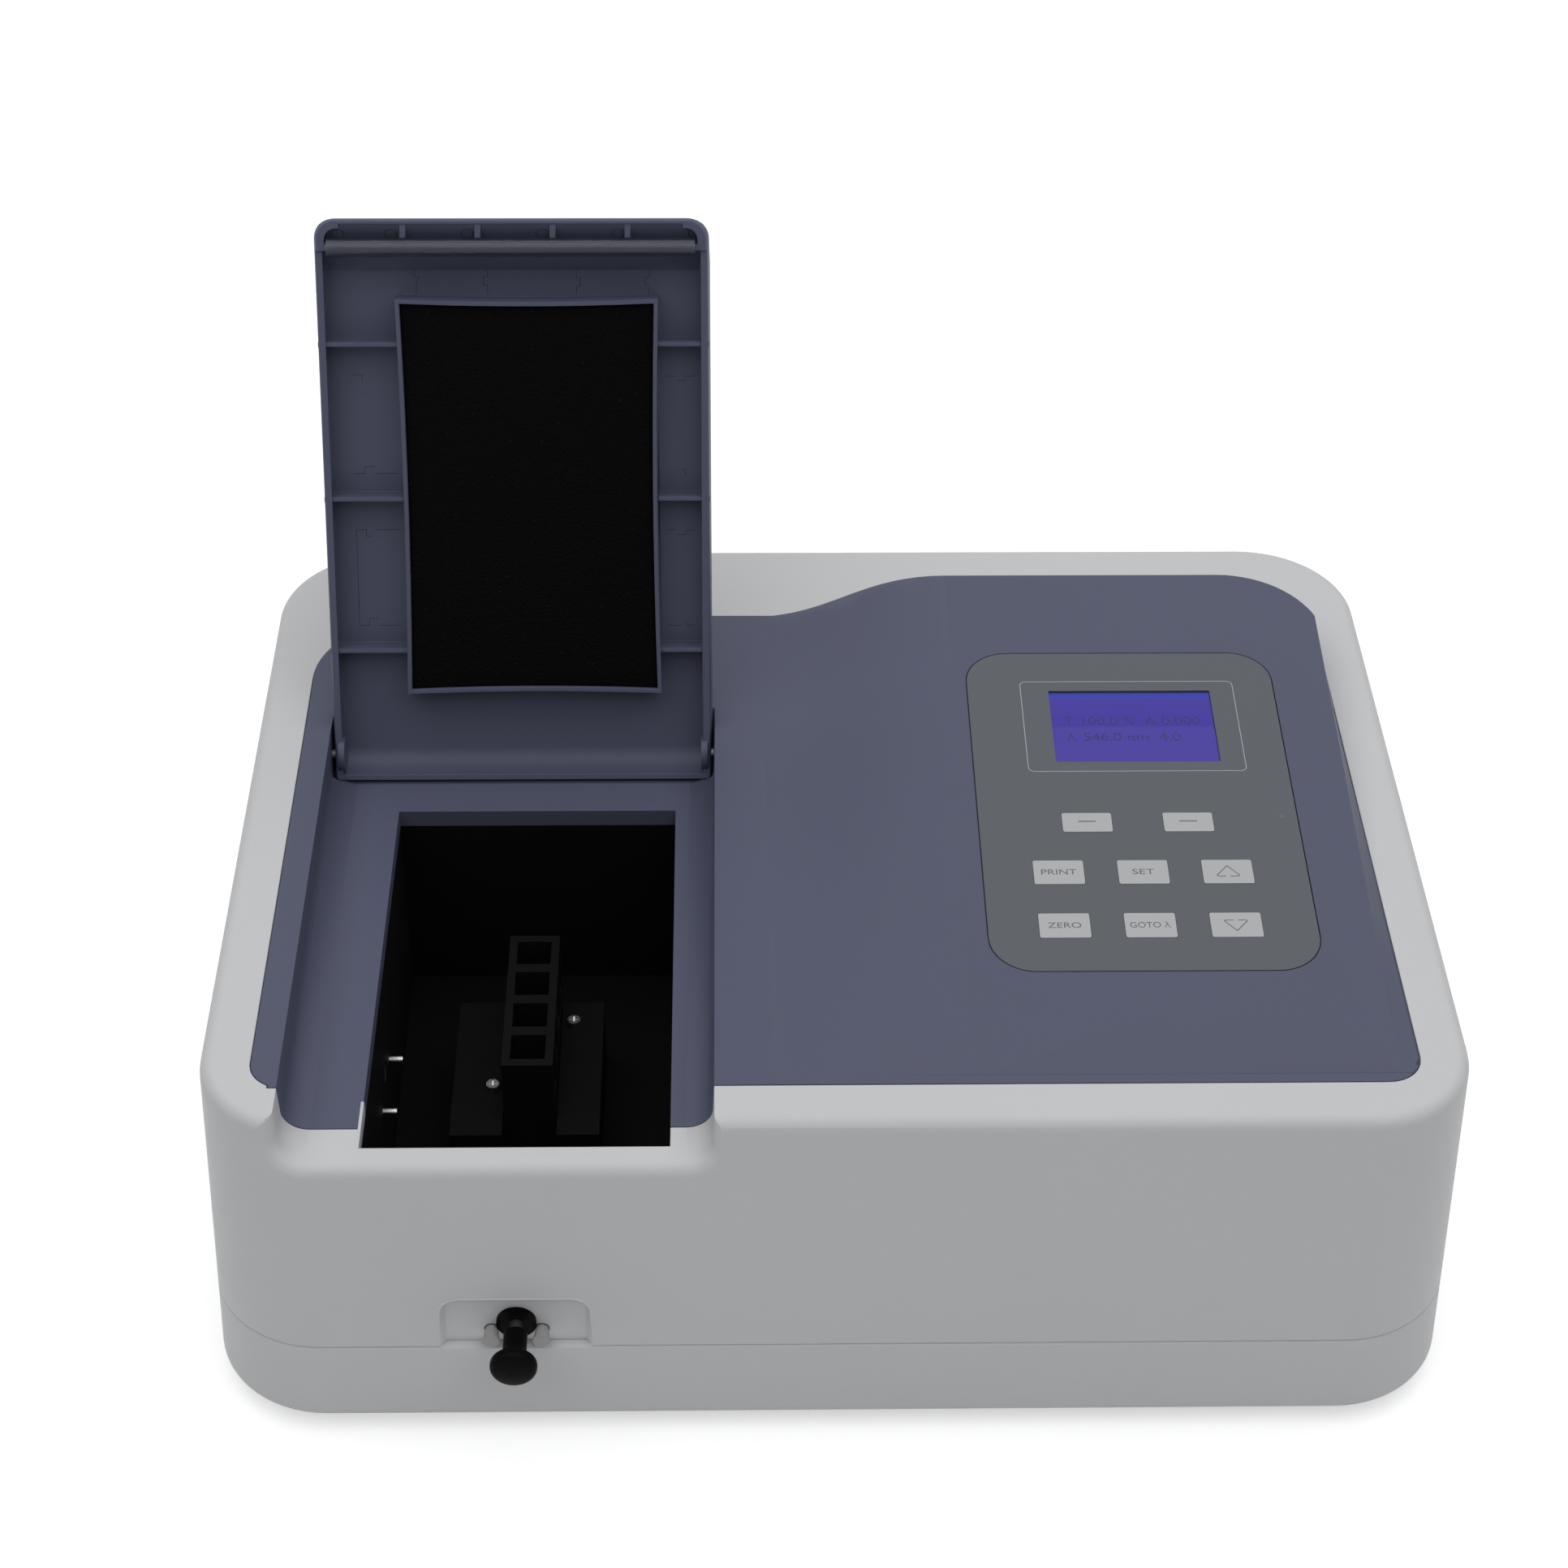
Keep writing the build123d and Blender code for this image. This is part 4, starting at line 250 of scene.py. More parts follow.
# %% [markdown]
# ## Moulded plastic
# The housing, the panel and the lid are injection mouldings. Their tools are
# spark eroded, which leaves a fine, even grain a few tenths of a millimetre
# across. It scatters the light, so the plastic looks satin and never quite
# flat in colour. Two noises do this: a fine one for the grain and a broad one
# for the slight change of tone over a large moulding.

# %% Plastics
broad_size, broad_share, fine_share, roughness_spread = 0.09, 0.7, 0.3, 0.12


def moulded(name, color, roughness, grain_size, grain_depth, tone=0.97, gloss=0.35):
    """A moulded surface: its tone is the share of the colour left in the grain."""
    finish = Finish(name, color, roughness, specular_ior_level=gloss)
    fine = finish.grain(grain_size, 3.0)
    broad = finish.grain(broad_size)
    finish.shade(broad * broad_share + fine * fine_share, tone)
    smoothest = roughness - roughness_spread / 2
    finish.feed(finish.shader, "Roughness", smoothest + fine * roughness_spread)
    finish.emboss(fine, grain_depth)
    return finish.material


# Each row holds: name, colour, roughness, grain size, grain depth, tone, gloss
finishes = {}
for name, *values in [
    ("white_plastic", (0.665, 0.67, 0.68), 0.48, 0.0007, 0.00003, 0.97, 0.2),
    ("blue_plastic", (0.098, 0.106, 0.163), 0.46, 0.0006, 0.00004, 0.94, 0.18),
    ("grey_film", (0.108, 0.117, 0.131), 0.5, 0.0003, 0.00001, 0.96, 0.25),
    ("key_white", (0.485, 0.495, 0.51), 0.4, 0.0005, 0.00001, 0.96, 0.3),
    ("light_plastic", (0.38, 0.38, 0.375), 0.45, 0.0008, 0.00002, 0.97, 0.3),
    ("black_plastic", (0.003, 0.003, 0.0032), 0.36, 0.0008, 0.00002, 0.97, 0.03),
    ("black_rubber", (0.014, 0.014, 0.014), 0.75, 0.0012, 0.00006, 0.97, 0.15),
]:
    finishes[name] = moulded(name, *values)
print("plastics:", ", ".join(finishes))

# %% [markdown]
# ## Metal, glass and the rest
# Bare metal is all reflection, so its base colour tints what it mirrors, and
# its grain goes into the roughness. The black sheet of the cell compartment is
# painted to swallow stray light: it is nearly black and fairly rough. Clear
# parts have an alpha below one, so that what lies behind them shows through.

# %% Metals
metal_grain_depth = 0.00001


def metal(name, color, roughness, grain_size, spread=0.12):
    """Bare metal, whose roughness varies by a spread."""
    finish = Finish(name, color, roughness, 1.0)
    fine = finish.grain(grain_size, 4.0)
    finish.shade(fine, 0.9)
    finish.feed(finish.shader, "Roughness", roughness - spread / 2 + fine * spread)
    finish.emboss(fine, metal_grain_depth)
    return finish.material


finishes["steel"] = metal("steel", (0.68, 0.68, 0.69), 0.22, 0.0006)
finishes["drawn_steel"] = metal("drawn_steel", (0.26, 0.26, 0.26), 0.36, 0.0006, 0.2)
finishes["dark_metal"] = metal("dark_metal", (0.12, 0.12, 0.125), 0.4, 0.0006)
finishes["sheet_metal"] = metal("sheet_metal", (0.50, 0.51, 0.52), 0.42, 0.004, 0.2)
finishes["cast_aluminium"] = metal("cast_aluminium", (0.55, 0.56, 0.57), 0.5, 0.0015)
finishes["mirror_glass"] = metal("mirror_glass", (0.9, 0.9, 0.9), 0.08, 0.02, 0.02)
finishes["black_sheet"] = moulded(
    "black_sheet", (0.0035, 0.0035, 0.004), 0.72, 0.0009, 0.00003, gloss=0.06
)
finishes["white_ceramic"] = moulded("white_ceramic", (0.78, 0.76, 0.70), 0.35, 0.0015, 0.00002)

# %% Clear parts, filters and boards
def clear(name, color, alpha, roughness, gloss=0.5, smudge_size=0.02, longer=1.0, spread=0.05):
    """A clear part with smudges that change its roughness by a spread."""
    finish = Finish(name, color, roughness, alpha=alpha, specular_ior_level=gloss)
    smudge = finish.grain(smudge_size, longer=longer)
    finish.feed(finish.shader, "Roughness", roughness + smudge * spread)
    finish.shade(smudge, 0.8)
    finish.material.surface_render_method = "BLENDED"
    return finish.material


finishes["clear_window"] = clear("clear_window", (0.10, 0.10, 0.11), 0.10, 0.06)
finishes["clear_strip"] = clear(
    "clear_strip", (0.050, 0.056, 0.088), 0.4, 0.08, 0.7, smudge_size=0.0009, longer=150, spread=0.2
)
finishes["optical_glass"] = clear("optical_glass", (0.25, 0.28, 0.28), 0.3, 0.03)
finishes["filter_glass"] = clear("filter_glass", (0.6, 0.25, 0.08), 0.6, 0.04)
finishes["circuit_green"] = moulded(
    "circuit_green", (0.012, 0.09, 0.035), 0.35, 0.002, 0.00005, tone=0.6
)
print("finishes:", len(finishes))

# %% [markdown]
# ## Foam and the lit display
# Open-cell foam is a sponge: thousands of pores up to a millimetre wide, each
# a tiny light trap, so it looks almost black. A pattern of cells gives the
# pores. The display is a sheet of blue-violet light. It turns a little bluer
# along its top edge, where the first row of dots is not in use.

# %% Foam, with pores from a pattern of cells
pores_per_metre, pore_depth, lint_size, lint_threshold = 900.0, 0.0004, 0.0011, 0.74
foam = Finish("black_foam", (0.0045, 0.0045, 0.0045), 0.95, specular_ior_level=0.03)
pores = foam.node(
    "ShaderNodeTexVoronoi",
    {"feature": "F1"},
    {"Vector": foam.place(), "Scale": pores_per_metre},
)
lint = foam.grain(lint_size, 1.0) > lint_threshold
foam_color = foam.blend(lint, (0.0045, 0.0045, 0.005, 1), (0.013, 0.013, 0.013, 1))
foam.feed(foam.shader, "Base Color", foam_color)
foam.emboss(pores, pore_depth)
finishes["black_foam"] = foam.material

# %% The display, with its bluer top row
glow = Finish("lcd_glow", (0.02, 0.015, 0.08), 0.3, specular_ior_level=0.2, emission_strength=1.0)
screen_low, screen_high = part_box("lcd_window")
height_on_glass = glow.node(
    "ShaderNodeSeparateXYZ", inputs={"Vector": glow.place()}, output=1
)
top_row_height = 3.6 * MM
in_top_row = height_on_glass > screen_high.y - top_row_height
unevenness = glow.grain(0.03) * 0.25
screen_color = glow.blend(in_top_row, (0.034, 0.022, 0.29, 1), (0.022, 0.034, 0.36, 1))
screen_color = glow.blend(unevenness, screen_color, (0.047, 0.028, 0.33, 1))
glow.feed(glow.shader, "Emission Color", screen_color)
finishes["lcd_glow"] = glow.material
print("display box:", [round(v, 4) for v in screen_low], [round(v, 4) for v in screen_high])

# %% [markdown]
# ## Dressing the CAD nodes
# Each CAD node gets its finish by name from the table below. Each CAD object
# keeps its mesh: only its material changes. Three nodes get finishes of their
# own: the strip in the lid is hazier than the window, and the rod and the hinge
# pins are duller than the screws.

# %% Give each node its finish
made_of = {
    "white_plastic": ["upper_cover", "base_tray"],
    "blue_plastic": ["top_panel", "lid"],
    "grey_film": ["keypad_overlay"],
    "clear_window": ["lcd_window"],
    "clear_strip": ["lid_strip"],
    "lcd_glow": ["lcd_screen"],
    "black_foam": ["lid_pad"],
    "steel": ["machine_screws", "guide_screws", "plate_screws", "port_studs"],
    "drawn_steel": ["pull_rod"],
    "black_sheet": [
        "compartment_liner", "carriage_guide", "carriage", "cuvette_holder", "detector_housing"
    ],
    "black_plastic": [
        "pull_knob", "rod_bush", "power_inlet", "power_switch", "switch_rocker",
        "fan_frame", "fan_rotor",
    ],
    "black_rubber": ["rubber_feet"],
    "light_plastic": ["front_plugs"],
    "optical_glass": ["beam_windows", "halogen_lamp"],
    "filter_glass": ["filter_glasses"],
    "mirror_glass": ["mirrors", "grating"],
    "cast_aluminium": [
        "optical_base", "monochromator_body", "monochromator_cover", "grating_table", "filter_wheel"
    ],
    "dark_metal": ["hinge_pins", "slit_plates", "grating_motor", "filter_motor"],
    "sheet_metal": ["lamp_house", "power_supply", "rear_plate", "data_ports"],
    "white_ceramic": ["lamp_socket"],
    "circuit_green": ["lcd_module", "keypad_board", "detector_board", "main_board"],
    "key_white": [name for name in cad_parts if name.startswith("key_")],
}
for finish_name, node_names in made_of.items():
    for node_name in node_names:
        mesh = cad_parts[node_name].data
        mesh.materials.clear()
        mesh.materials.append(finishes[finish_name])
undressed = set(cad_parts) - {name for names in made_of.values() for name in names}
print("nodes without a finish:", len(undressed))

# %% [markdown]
# ## Edges that catch the light
# No moulded or cut edge is truly sharp. A real one is rounded by a quarter of
# a millimetre, and it shows as a thin bright line. The CAD leaves these edges
# square, so a Bevel modifier breaks them here. The triangles of a CAD mesh are
# loose, so Weld joins them first, and Decimate makes flat faces of them again,
# except on the panel, whose large faces have too many holes for that. The
# angle is the least turn that counts as an edge, so that the facets of a round
# corner are left alone.

# %% Break the sharp edges
weld_gap = 0.01 * MM
flat_within = radians(0.1)


def break_edges(name, width, least_angle, join_faces=True):
    """Rounds the sharp edges of a CAD node with live modifiers."""
    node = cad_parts[name]
    weld = node.modifiers.new("weld", "WELD")
    weld.merge_threshold = weld_gap
    if join_faces:
        flat = node.modifiers.new("flat", "DECIMATE")
        flat.decimate_type = "DISSOLVE"
        flat.angle_limit = flat_within
    bevel = node.modifiers.new("broken_edge", "BEVEL")
    bevel.width = width
    bevel.segments = 2
    bevel.limit_method = "ANGLE"
    bevel.angle_limit = radians(least_angle)
    bevel.use_clamp_overlap = False


break_edges("top_panel", 0.2 * MM, 75, join_faces=False)
for name, width, least_angle in [
    ("upper_cover", 0.3, 40),
    ("base_tray", 0.3, 40),
    ("lid", 0.2, 60),
    ("rear_plate", 0.2, 40),
    ("fan_frame", 0.2, 40),
    ("power_inlet", 0.2, 40),
    ("power_switch", 0.2, 40),
    ("front_plugs", 0.2, 40),
]:
    break_edges(name, width * MM, least_angle)
broken = [name for name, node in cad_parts.items() if node.modifiers]
print("nodes with broken edges:", len(broken))

# %% [markdown]
# ## Making pieces
# Every new piece is a bmesh. Most start from one of Blender's own shapes, and
# all are moved to their place before they become objects. That keeps each
# object at the origin, unturned, so patterns on its Object coordinates stay
# put when it moves with its body.

# %% Helpers for new pieces
def add_piece(name, shape, finish, body, to_place=None, smooth=True):
    """Turns a bmesh into an object that rides on a body."""
    if to_place is not None:
        bmesh.ops.transform(shape, matrix=to_place, verts=shape.verts)
    mesh = bpy.data.meshes.new(name)
    shape.to_mesh(mesh)
    shape.free()
    mesh.materials.append(finishes[finish])
    if smooth:
        mesh.shade_smooth()
        mesh.set_sharp_from_angle(angle=radians(35))
    piece = bpy.data.objects.new(name, mesh)
    bpy.context.scene.collection.objects.link(piece)
    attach(piece, body)
    return piece


def block(shape, low, high):
    """Adds a box between two corners to a bmesh."""
    low, high = Vector(low), Vector(high)
    made = bmesh.ops.create_cube(shape, size=1.0)["verts"]
    bmesh.ops.scale(shape, vec=high - low, verts=made)
    bmesh.ops.translate(shape, vec=(low + high) / 2, verts=made)


def soften(shape, edges, width, segments=2):
    """Rounds edges by a width."""
    bmesh.ops.bevel(
        shape,
        geom=edges,
        offset=width,
        offset_type="OFFSET",
        affect="EDGES",
        segments=segments,
        profile=0.5,
        material=-1,
        clamp_overlap=True,
    )


# %% [markdown]
# ## The foam in the lid
# A sheet of foam is pressed into a moulded frame inside the lid, and shuts
# out stray light when the lid closes. Its edge is cut with a blade and its
# face swells a little between the walls that hold it. It starts as a box and
# is cut into a grid. Then its sides are drawn in by a millimetre at their
# middle, its face is swelled by half as much, and noise adds a faint ripple.

# %% Foam sheet
foam_frame_left, foam_frame_right = -156.75, -60.9
foam_frame_front, foam_frame_rear = -173.6, -24.7
foam_frame_wall, left_gap, foam_reach = 1.7, 0.1, 12.8
foam_low = MM * Vector((
    foam_frame_left + foam_frame_wall + left_gap,
    foam_frame_front + foam_frame_wall,
    hinge_depth - foam_reach,
))
foam_high = MM * Vector((
    foam_frame_right - foam_frame_wall,
    foam_frame_rear - foam_frame_wall,
    hinge_depth - lid_wall,
))
foam_rounding, long_edge, grid_cuts = 0.9 * MM, 8 * MM, 22
foam_shape = bmesh.new()
block(foam_shape, foam_low, foam_high)
soften(foam_shape, foam_shape.edges[:], foam_rounding, 3)
bmesh.ops.subdivide_edges(
    foam_shape,
    edges=[edge for edge in foam_shape.edges if edge.calc_length() > long_edge],
    cuts=grid_cuts,
    use_grid_fill=True,
)
foam_middle = (foam_low + foam_high) / 2
foam_half = (foam_high - foam_low) / 2
bow, swell, ripple, ripples_per_metre = 1.0 * MM, 0.5 * MM, 0.25 * MM, 60
face_zone = 1.2 * MM
for vert in foam_shape.verts:
    across = (vert.co.x - foam_middle.x) / foam_half.x
    along = (vert.co.y - foam_middle.y) / foam_half.y
    vert.co.x -= across * bow * (1 - along**2)
    vert.co.y -= along * bow * (1 - across**2)
    if vert.co.z < foam_low.z + face_zone:
        share = (1 - across**2) * (1 - along**2)
        wave = noise.noise(vert.co * ripples_per_metre)
        vert.co.z -= swell * share + ripple * wave * share
lid_foam = add_piece("lid_foam", foam_shape, "black_foam", "lid", on_lid)
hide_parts("lid_pad")
print("foam sheet:", len(lid_foam.data.polygons), "faces")

# %% [markdown]
# ## Marks of the mould
# The steel of a mould is built from blocks, and the plastic prints their
# joints as hair lines, here inside the lid. The pins that push the lid out of
# the mould leave rings on the slope of its nose. The marks are made as thin
# strips that lie on the wall, so that the exported mesh has them too. A line
# is a row of small blocks with a disc at each joint, and a ring is a small
# rectangle that is spun round.

# %% Helpers for thin lines and rings
ink_thickness = 0.03 * MM
# The discs are a little thinner than the line, so that no two faces coincide
end_share = 0.98


def stroke(shape, start, end, width, height):
    """Adds a straight line with round ends to a bmesh."""
    start, end = Vector((*start, 0)), Vector((*end, 0))
    lift = Vector((0, 0, height + ink_thickness / 2))
    run = end - start
    turn = Matrix.Rotation(atan2(run.y, run.x), 4, "Z")
    spot = Matrix.Translation((start + end) / 2 + lift)
    size = Matrix.Diagonal((run.length, width, ink_thickness, 1))
    bmesh.ops.create_cube(shape, size=1.0, matrix=spot @ turn @ size)
    for end_point in (start, end):
        bmesh.ops.create_cone(
            shape,
            cap_ends=True,
            segments=12,
            radius1=width / 2,
            radius2=width / 2,
            depth=ink_thickness * end_share,
            matrix=Matrix.Translation(end_point + lift),
        )


def ring(shape, radius, width, to_place):
    """Adds a flat ring by spinning a small rectangle round Z."""
    before = set(shape.verts)
    half, top = width / 2, ink_thickness
    corners = [(-half, 0), (half, 0), (half, top), (-half, top)]
    section = [shape.verts.new((radius + out, 0, up)) for out, up in corners]
    loop = [shape.edges.new(pair) for pair in zip(section, section[1:] + section[:1])]
    bmesh.ops.spin(
        shape,
        geom=section + loop,
        cent=(0, 0, 0),
        axis=(0, 0, 1),
        angle=tau,
        steps=32,
        use_merge=True,
    )
    made = [vert for vert in shape.verts if vert not in before]
    faces = {face for vert in made for face in vert.link_faces}
    bmesh.ops.recalc_face_normals(shape, faces=list(faces))
    bmesh.ops.transform(shape, matrix=to_place, verts=made)


def facing(origin, normal, up):
    """A frame that stands on a face: Z is its normal and Y points up along it."""
    normal, up = Vector(normal).normalized(), Vector(up).normalized()
    turn = Matrix((up.cross(normal), up, normal)).transposed()
    return Matrix.Translation(origin) @ turn.to_4x4()


# %% Hair lines and rings inside the lid
finishes["mould_mark"] = moulded(
    "mould_mark", (0.040, 0.044, 0.070), 0.5, 0.0006, 0.00002, 0.9, gloss=0.18
)
inner_face = (hinge_depth - lid_wall) * MM
hair_width = 0.24 * MM
# Each line is a row of points on the inner face of the lid, in millimetres
hair_lines = [
    [(-150.4, -182.9), (-150.4, -180.3), (-148.7, -179.9), (-149.7, -177.2), (-149.7, -173.7)],
    [(-150.4, -182.9), (-123.5, -182.9), (-123.5, -180.1)],
    [(-123.5, -180.1), (-125.0, -180.1), (-125.0, -177.1), (-123.6, -176.9)],
    [(-123.6, -176.9), (-123.6, -173.7)],
    [(-90.9, -182.9), (-90.9, -179.9), (-89.6, -179.7)],
    [(-89.6, -179.7), (-89.6, -176.9), (-91.0, -176.6), (-91.0, -173.7)],
    [(-90.9, -182.9), (-64.3, -182.9), (-64.3, -180.0)],
    [(-64.3, -180.0), (-65.9, -179.7), (-65.9, -177.2), (-64.6, -176.7)],
    [(-64.6, -176.7), (-64.6, -173.7)],
    [(-174.4, -143.9), (-170.8, -143.9), (-170.8, -141.8)],
    [(-174.8, -106.8), (-171.1, -106.8), (-171.0, -109.3), (-167.6, -109.6)],
    [(-167.2, -106.8), (-158.9, -106.8)],
    [(-175.0, -85.4), (-171.3, -85.4), (-171.3, -83.0), (-169.3, -82.7)],
    [(-167.9, -85.4), (-159.3, -85.4)],
    [(-175.0, -85.4), (-175.2, -48.4), (-171.6, -48.4), (-171.4, -51.1), (-168.0, -51.4)],
    [(-168.0, -48.5), (-159.5, -48.5)],
    [(-58.5, -143.3), (-55.4, -143.3)],
    [(-54.4, -141.6), (-51.8, -141.6), (-51.5, -143.2), (-48.3, -143.3)],
    [(-52.8, -108.1), (-51.7, -108.1), (-51.6, -106.2), (-51.0, -106.0)],
    [(-58.5, -85.1), (-55.5, -85.1)],
    [(-54.3, -83.2), (-51.6, -83.3), (-51.4, -84.9), (-48.3, -85.1)],
    [(-58.8, -48.1), (-53.5, -48.1)],
    [(-51.7, -50.0), (-51.7, -48.3), (-48.6, -48.1)],
]
lid_marks = bmesh.new()
for line in hair_lines:
    for start, end in zip(line, line[1:]):
        start, end = Vector(start) * MM, Vector(end) * MM
        stroke(lid_marks, start, end, hair_width, inner_face - ink_thickness)
nose_slope = atan(0.655)
off_nose = (0, sin(nose_slope), -cos(nose_slope))
ring_y, ring_z, ring_radius, ring_width = -197.0, -1.735, 2.2 * MM, 0.26 * MM
ring_columns = [-176.5, -157.4, -129.7, -102.7, -75.1, -47.4]
for ring_x in ring_columns:
    on_slope = facing(Vector((ring_x, ring_y, ring_z)) * MM, off_nose, (1, 0, 0))
    ring(lid_marks, ring_radius, ring_width, on_slope)
add_piece("lid_mould_marks", lid_marks, "mould_mark", "lid", on_lid, smooth=False)
print("hair lines:", len(hair_lines), "rings:", len(ring_columns))

# %% [markdown]
# ## Small things on the housing
# The white cover turns inwards at the front left corner of the cell opening,
# and shows there as a pale lip beside the blue panel. In the front pocket two
# plugs close spare holes, and a thin black ring at the foot of each paints the
# shade in the gap where it meets the wall. Both are too thin for the CAD to be
# worth a solid.

# %% Lip of the opening and painted shade round the plugs
lip_low = Vector((-161.0, -147.3, 120.0)) * MM
lip_high = Vector((-159.85, -125.0, 126.35)) * MM
lip_rounding = 0.3 * MM
lip = bmesh.new()
block(lip, lip_low, lip_high)
soften(lip, lip.edges[:], lip_rounding)
add_piece("opening_lip", lip, "white_plastic", "housing")

rod_x, plug_spread, plug_y, plug_z = -110.0, 8.7, -157.8, 48.5
gap_radius, gap_width = 2.45 * MM, 0.35 * MM
# A thin black ring at the foot of each plug paints the shade in the gap between plug and wall
painted_gap_shade = bmesh.new()
for side in (-1, 1):
    plug_foot = Vector((rod_x + side * plug_spread, plug_y, plug_z)) * MM
    ring(painted_gap_shade, gap_radius, gap_width, facing(plug_foot, (0, -1, 0), (0, 0, 1)))
add_piece("plug_painted_shade", painted_gap_shade, "black_rubber", "housing", smooth=False)
print("lip and gaps made")

# %% [markdown]
# ## Bead round the front pocket
# The pocket is cut into a wall that leans, and its own walls flare outwards.
# A fine bead runs up its left edge, across the top and down the right edge,
# and catches the light. Rays find the wall behind each point of the bead.

# %% Bead round the pocket
# The pocket's outline on the front, in millimetres
pocket_left, pocket_right, pocket_top, pocket_foot = -134.4, -86.0, 64.0, 44.3
pocket_face_y, pocket_corner, flare = -157.77, 5.0, tan(radians(35))
ray_start_y, probe_step = -300.0, 3.0
bead_radius, bead_offset, bead_sides, corner_steps = 0.28 * MM, 0.15, 8, 8

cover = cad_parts["upper_cover"]
wall = BVHTree.FromPolygons(
    [cover.matrix_world @ vertex.co for vertex in cover.data.vertices],
    [face.vertices[:] for face in cover.data.polygons],
)


def on_wall(x, z):
    """The point of the front wall that a ray along Y meets, in metres."""
    return wall.ray_cast(Vector((x, ray_start_y, z)) * MM, Vector((0, 1, 0)))[0]


def pocket_edge(x, z, side, rise):
    """A point of the pocket's floor outline, moved out along the flare."""
    depth = pocket_face_y - on_wall(x + side * probe_step, z + rise * probe_step).y / MM
    grow = depth * flare + bead_offset
    return on_wall(x + side * grow, z + rise * grow)


arc = [radians(90) * step / corner_steps for step in range(corner_steps + 1)]
corner_z = pocket_top - pocket_corner
bead_path = [pocket_edge(pocket_left, pocket_foot, -1, 0)]
for side, corner_x, turns in [
    (-1, pocket_left + pocket_corner, arc),
    (1, pocket_right - pocket_corner, arc[::-1]),
]:
    for turn in turns:
        away = side * cos(turn), sin(turn)
        out = Vector(away) * pocket_corner
        bead_path.append(pocket_edge(corner_x + out.x, corner_z + out.y, *away))
bead_path.append(pocket_edge(pocket_right, pocket_foot, 1, 0))

bead = bmesh.new()
off_wall = Vector((0, -1, 0))
angles = [tau * number / bead_sides for number in range(bead_sides)]
loops = []
for here, spot in enumerate(bead_path):
    onward = bead_path[min(here + 1, len(bead_path) - 1)] - bead_path[max(here - 1, 0)]
    across = onward.cross(Vector((0, 1, 0))).normalized()
    loops.append([
        bead.verts.new(spot + bead_radius * (cos(angle) * across + sin(angle) * off_wall))
        for angle in angles
    ])
for near, far in zip(loops, loops[1:]):
    for number in range(bead_sides):
        after = (number + 1) % bead_sides
        bead.faces.new((near[number], near[after], far[after], far[number]))
for end in (loops[0], loops[-1]):
    bead.faces.new(end)
bmesh.ops.recalc_face_normals(bead, faces=bead.faces[:])
add_piece("pocket_bead", bead, "white_plastic", "housing")
print("points along the bead:", len(bead_path))

# %% [markdown]
# ## Print on the keys
# The keys are clear caps printed white from behind, with the function of each
# in thin grey letters. The letters are generic words, so they are set in
# Blender's own font, stretched wide, and turned into a thin sheet of ink that
# stands a few hundredths of a millimetre above the key.

# %% Ink and lettering
def flat_ink(name, color, darker, lighter):
    """Ink whose tone changes a little from place to place."""
    finish = Finish(name, color, 0.5)
    tone = finish.blend(finish.grain(0.0008), (*darker, 1), (*lighter, 1))
    finish.feed(finish.shader, "Base Color", tone)
    finishes[name] = finish.material


flat_ink("grey_ink", (0.10, 0.105, 0.11), (0.085, 0.09, 0.095), (0.12, 0.125, 0.13))
flat_ink("pale_ink", (0.42, 0.43, 0.44), (0.38, 0.39, 0.40), (0.46, 0.47, 0.48))
# A capital letter of the font is this share of its size
capital_share = 0.69


def lettering(name, words, x, y, letter_height, width, finish, body, height):
    """Words of a given height and width that lie flat on the slope, centred on a place."""
    curve = bpy.data.curves.new(name, "FONT")
    curve.body = words
    curve.size = letter_height / capital_share
    curve.align_x = "CENTER"
    curve.align_y = "CENTER"
    curve.extrude = ink_thickness / 2
    holder = bpy.data.objects.new(name + "_curve", curve)
    mesh = bpy.data.meshes.new_from_object(holder)
    bpy.data.objects.remove(holder)
    bpy.data.curves.remove(curve)
    shape = bmesh.new()
    shape.from_mesh(mesh)
    bpy.data.meshes.remove(mesh)
    sides = [vert.co.x for vert in shape.verts]
    stretch = width / (max(sides) - min(sides))
    middle = (max(sides) + min(sides)) / 2
    bmesh.ops.translate(shape, vec=(-middle, 0, 0), verts=shape.verts)
    bmesh.ops.scale(shape, vec=(stretch, 1, 1), verts=shape.verts)
    bmesh.ops.translate(shape, vec=(x, y, height + ink_thickness / 2), verts=shape.verts)
    return add_piece(name, shape, finish, body, on_console, smooth=False)


# %% The words on four keys
key_top = 0.15 * MM
key_letters = 2.6 * MM
column_x = [81.45 * MM, 111.6 * MM, 141.75 * MM]
lower_y, upper_y, soft_y = 69.2 * MM, 95.6 * MM, 121.6 * MM
for key, words, width, x, y in [
    ("key_upper_left", "PRINT", 12.6, column_x[0], upper_y),
    ("key_upper_middle", "SET", 7.8, column_x[1], upper_y),
    ("key_lower_left", "ZERO", 11.7, column_x[0], lower_y),
    ("key_lower_middle", "GOTO λ", 14.4, column_x[1], lower_y),
]:
    lettering(
        key + "_print", words, x, y, key_letters, width * MM, "grey_ink", key, key_top
    )

# %% [markdown]
# The arrows are open triangles drawn with one thin line, broken in the middle
# of the flat side, and the two keys nearest to the display carry a dash. The
# same strokes make both.

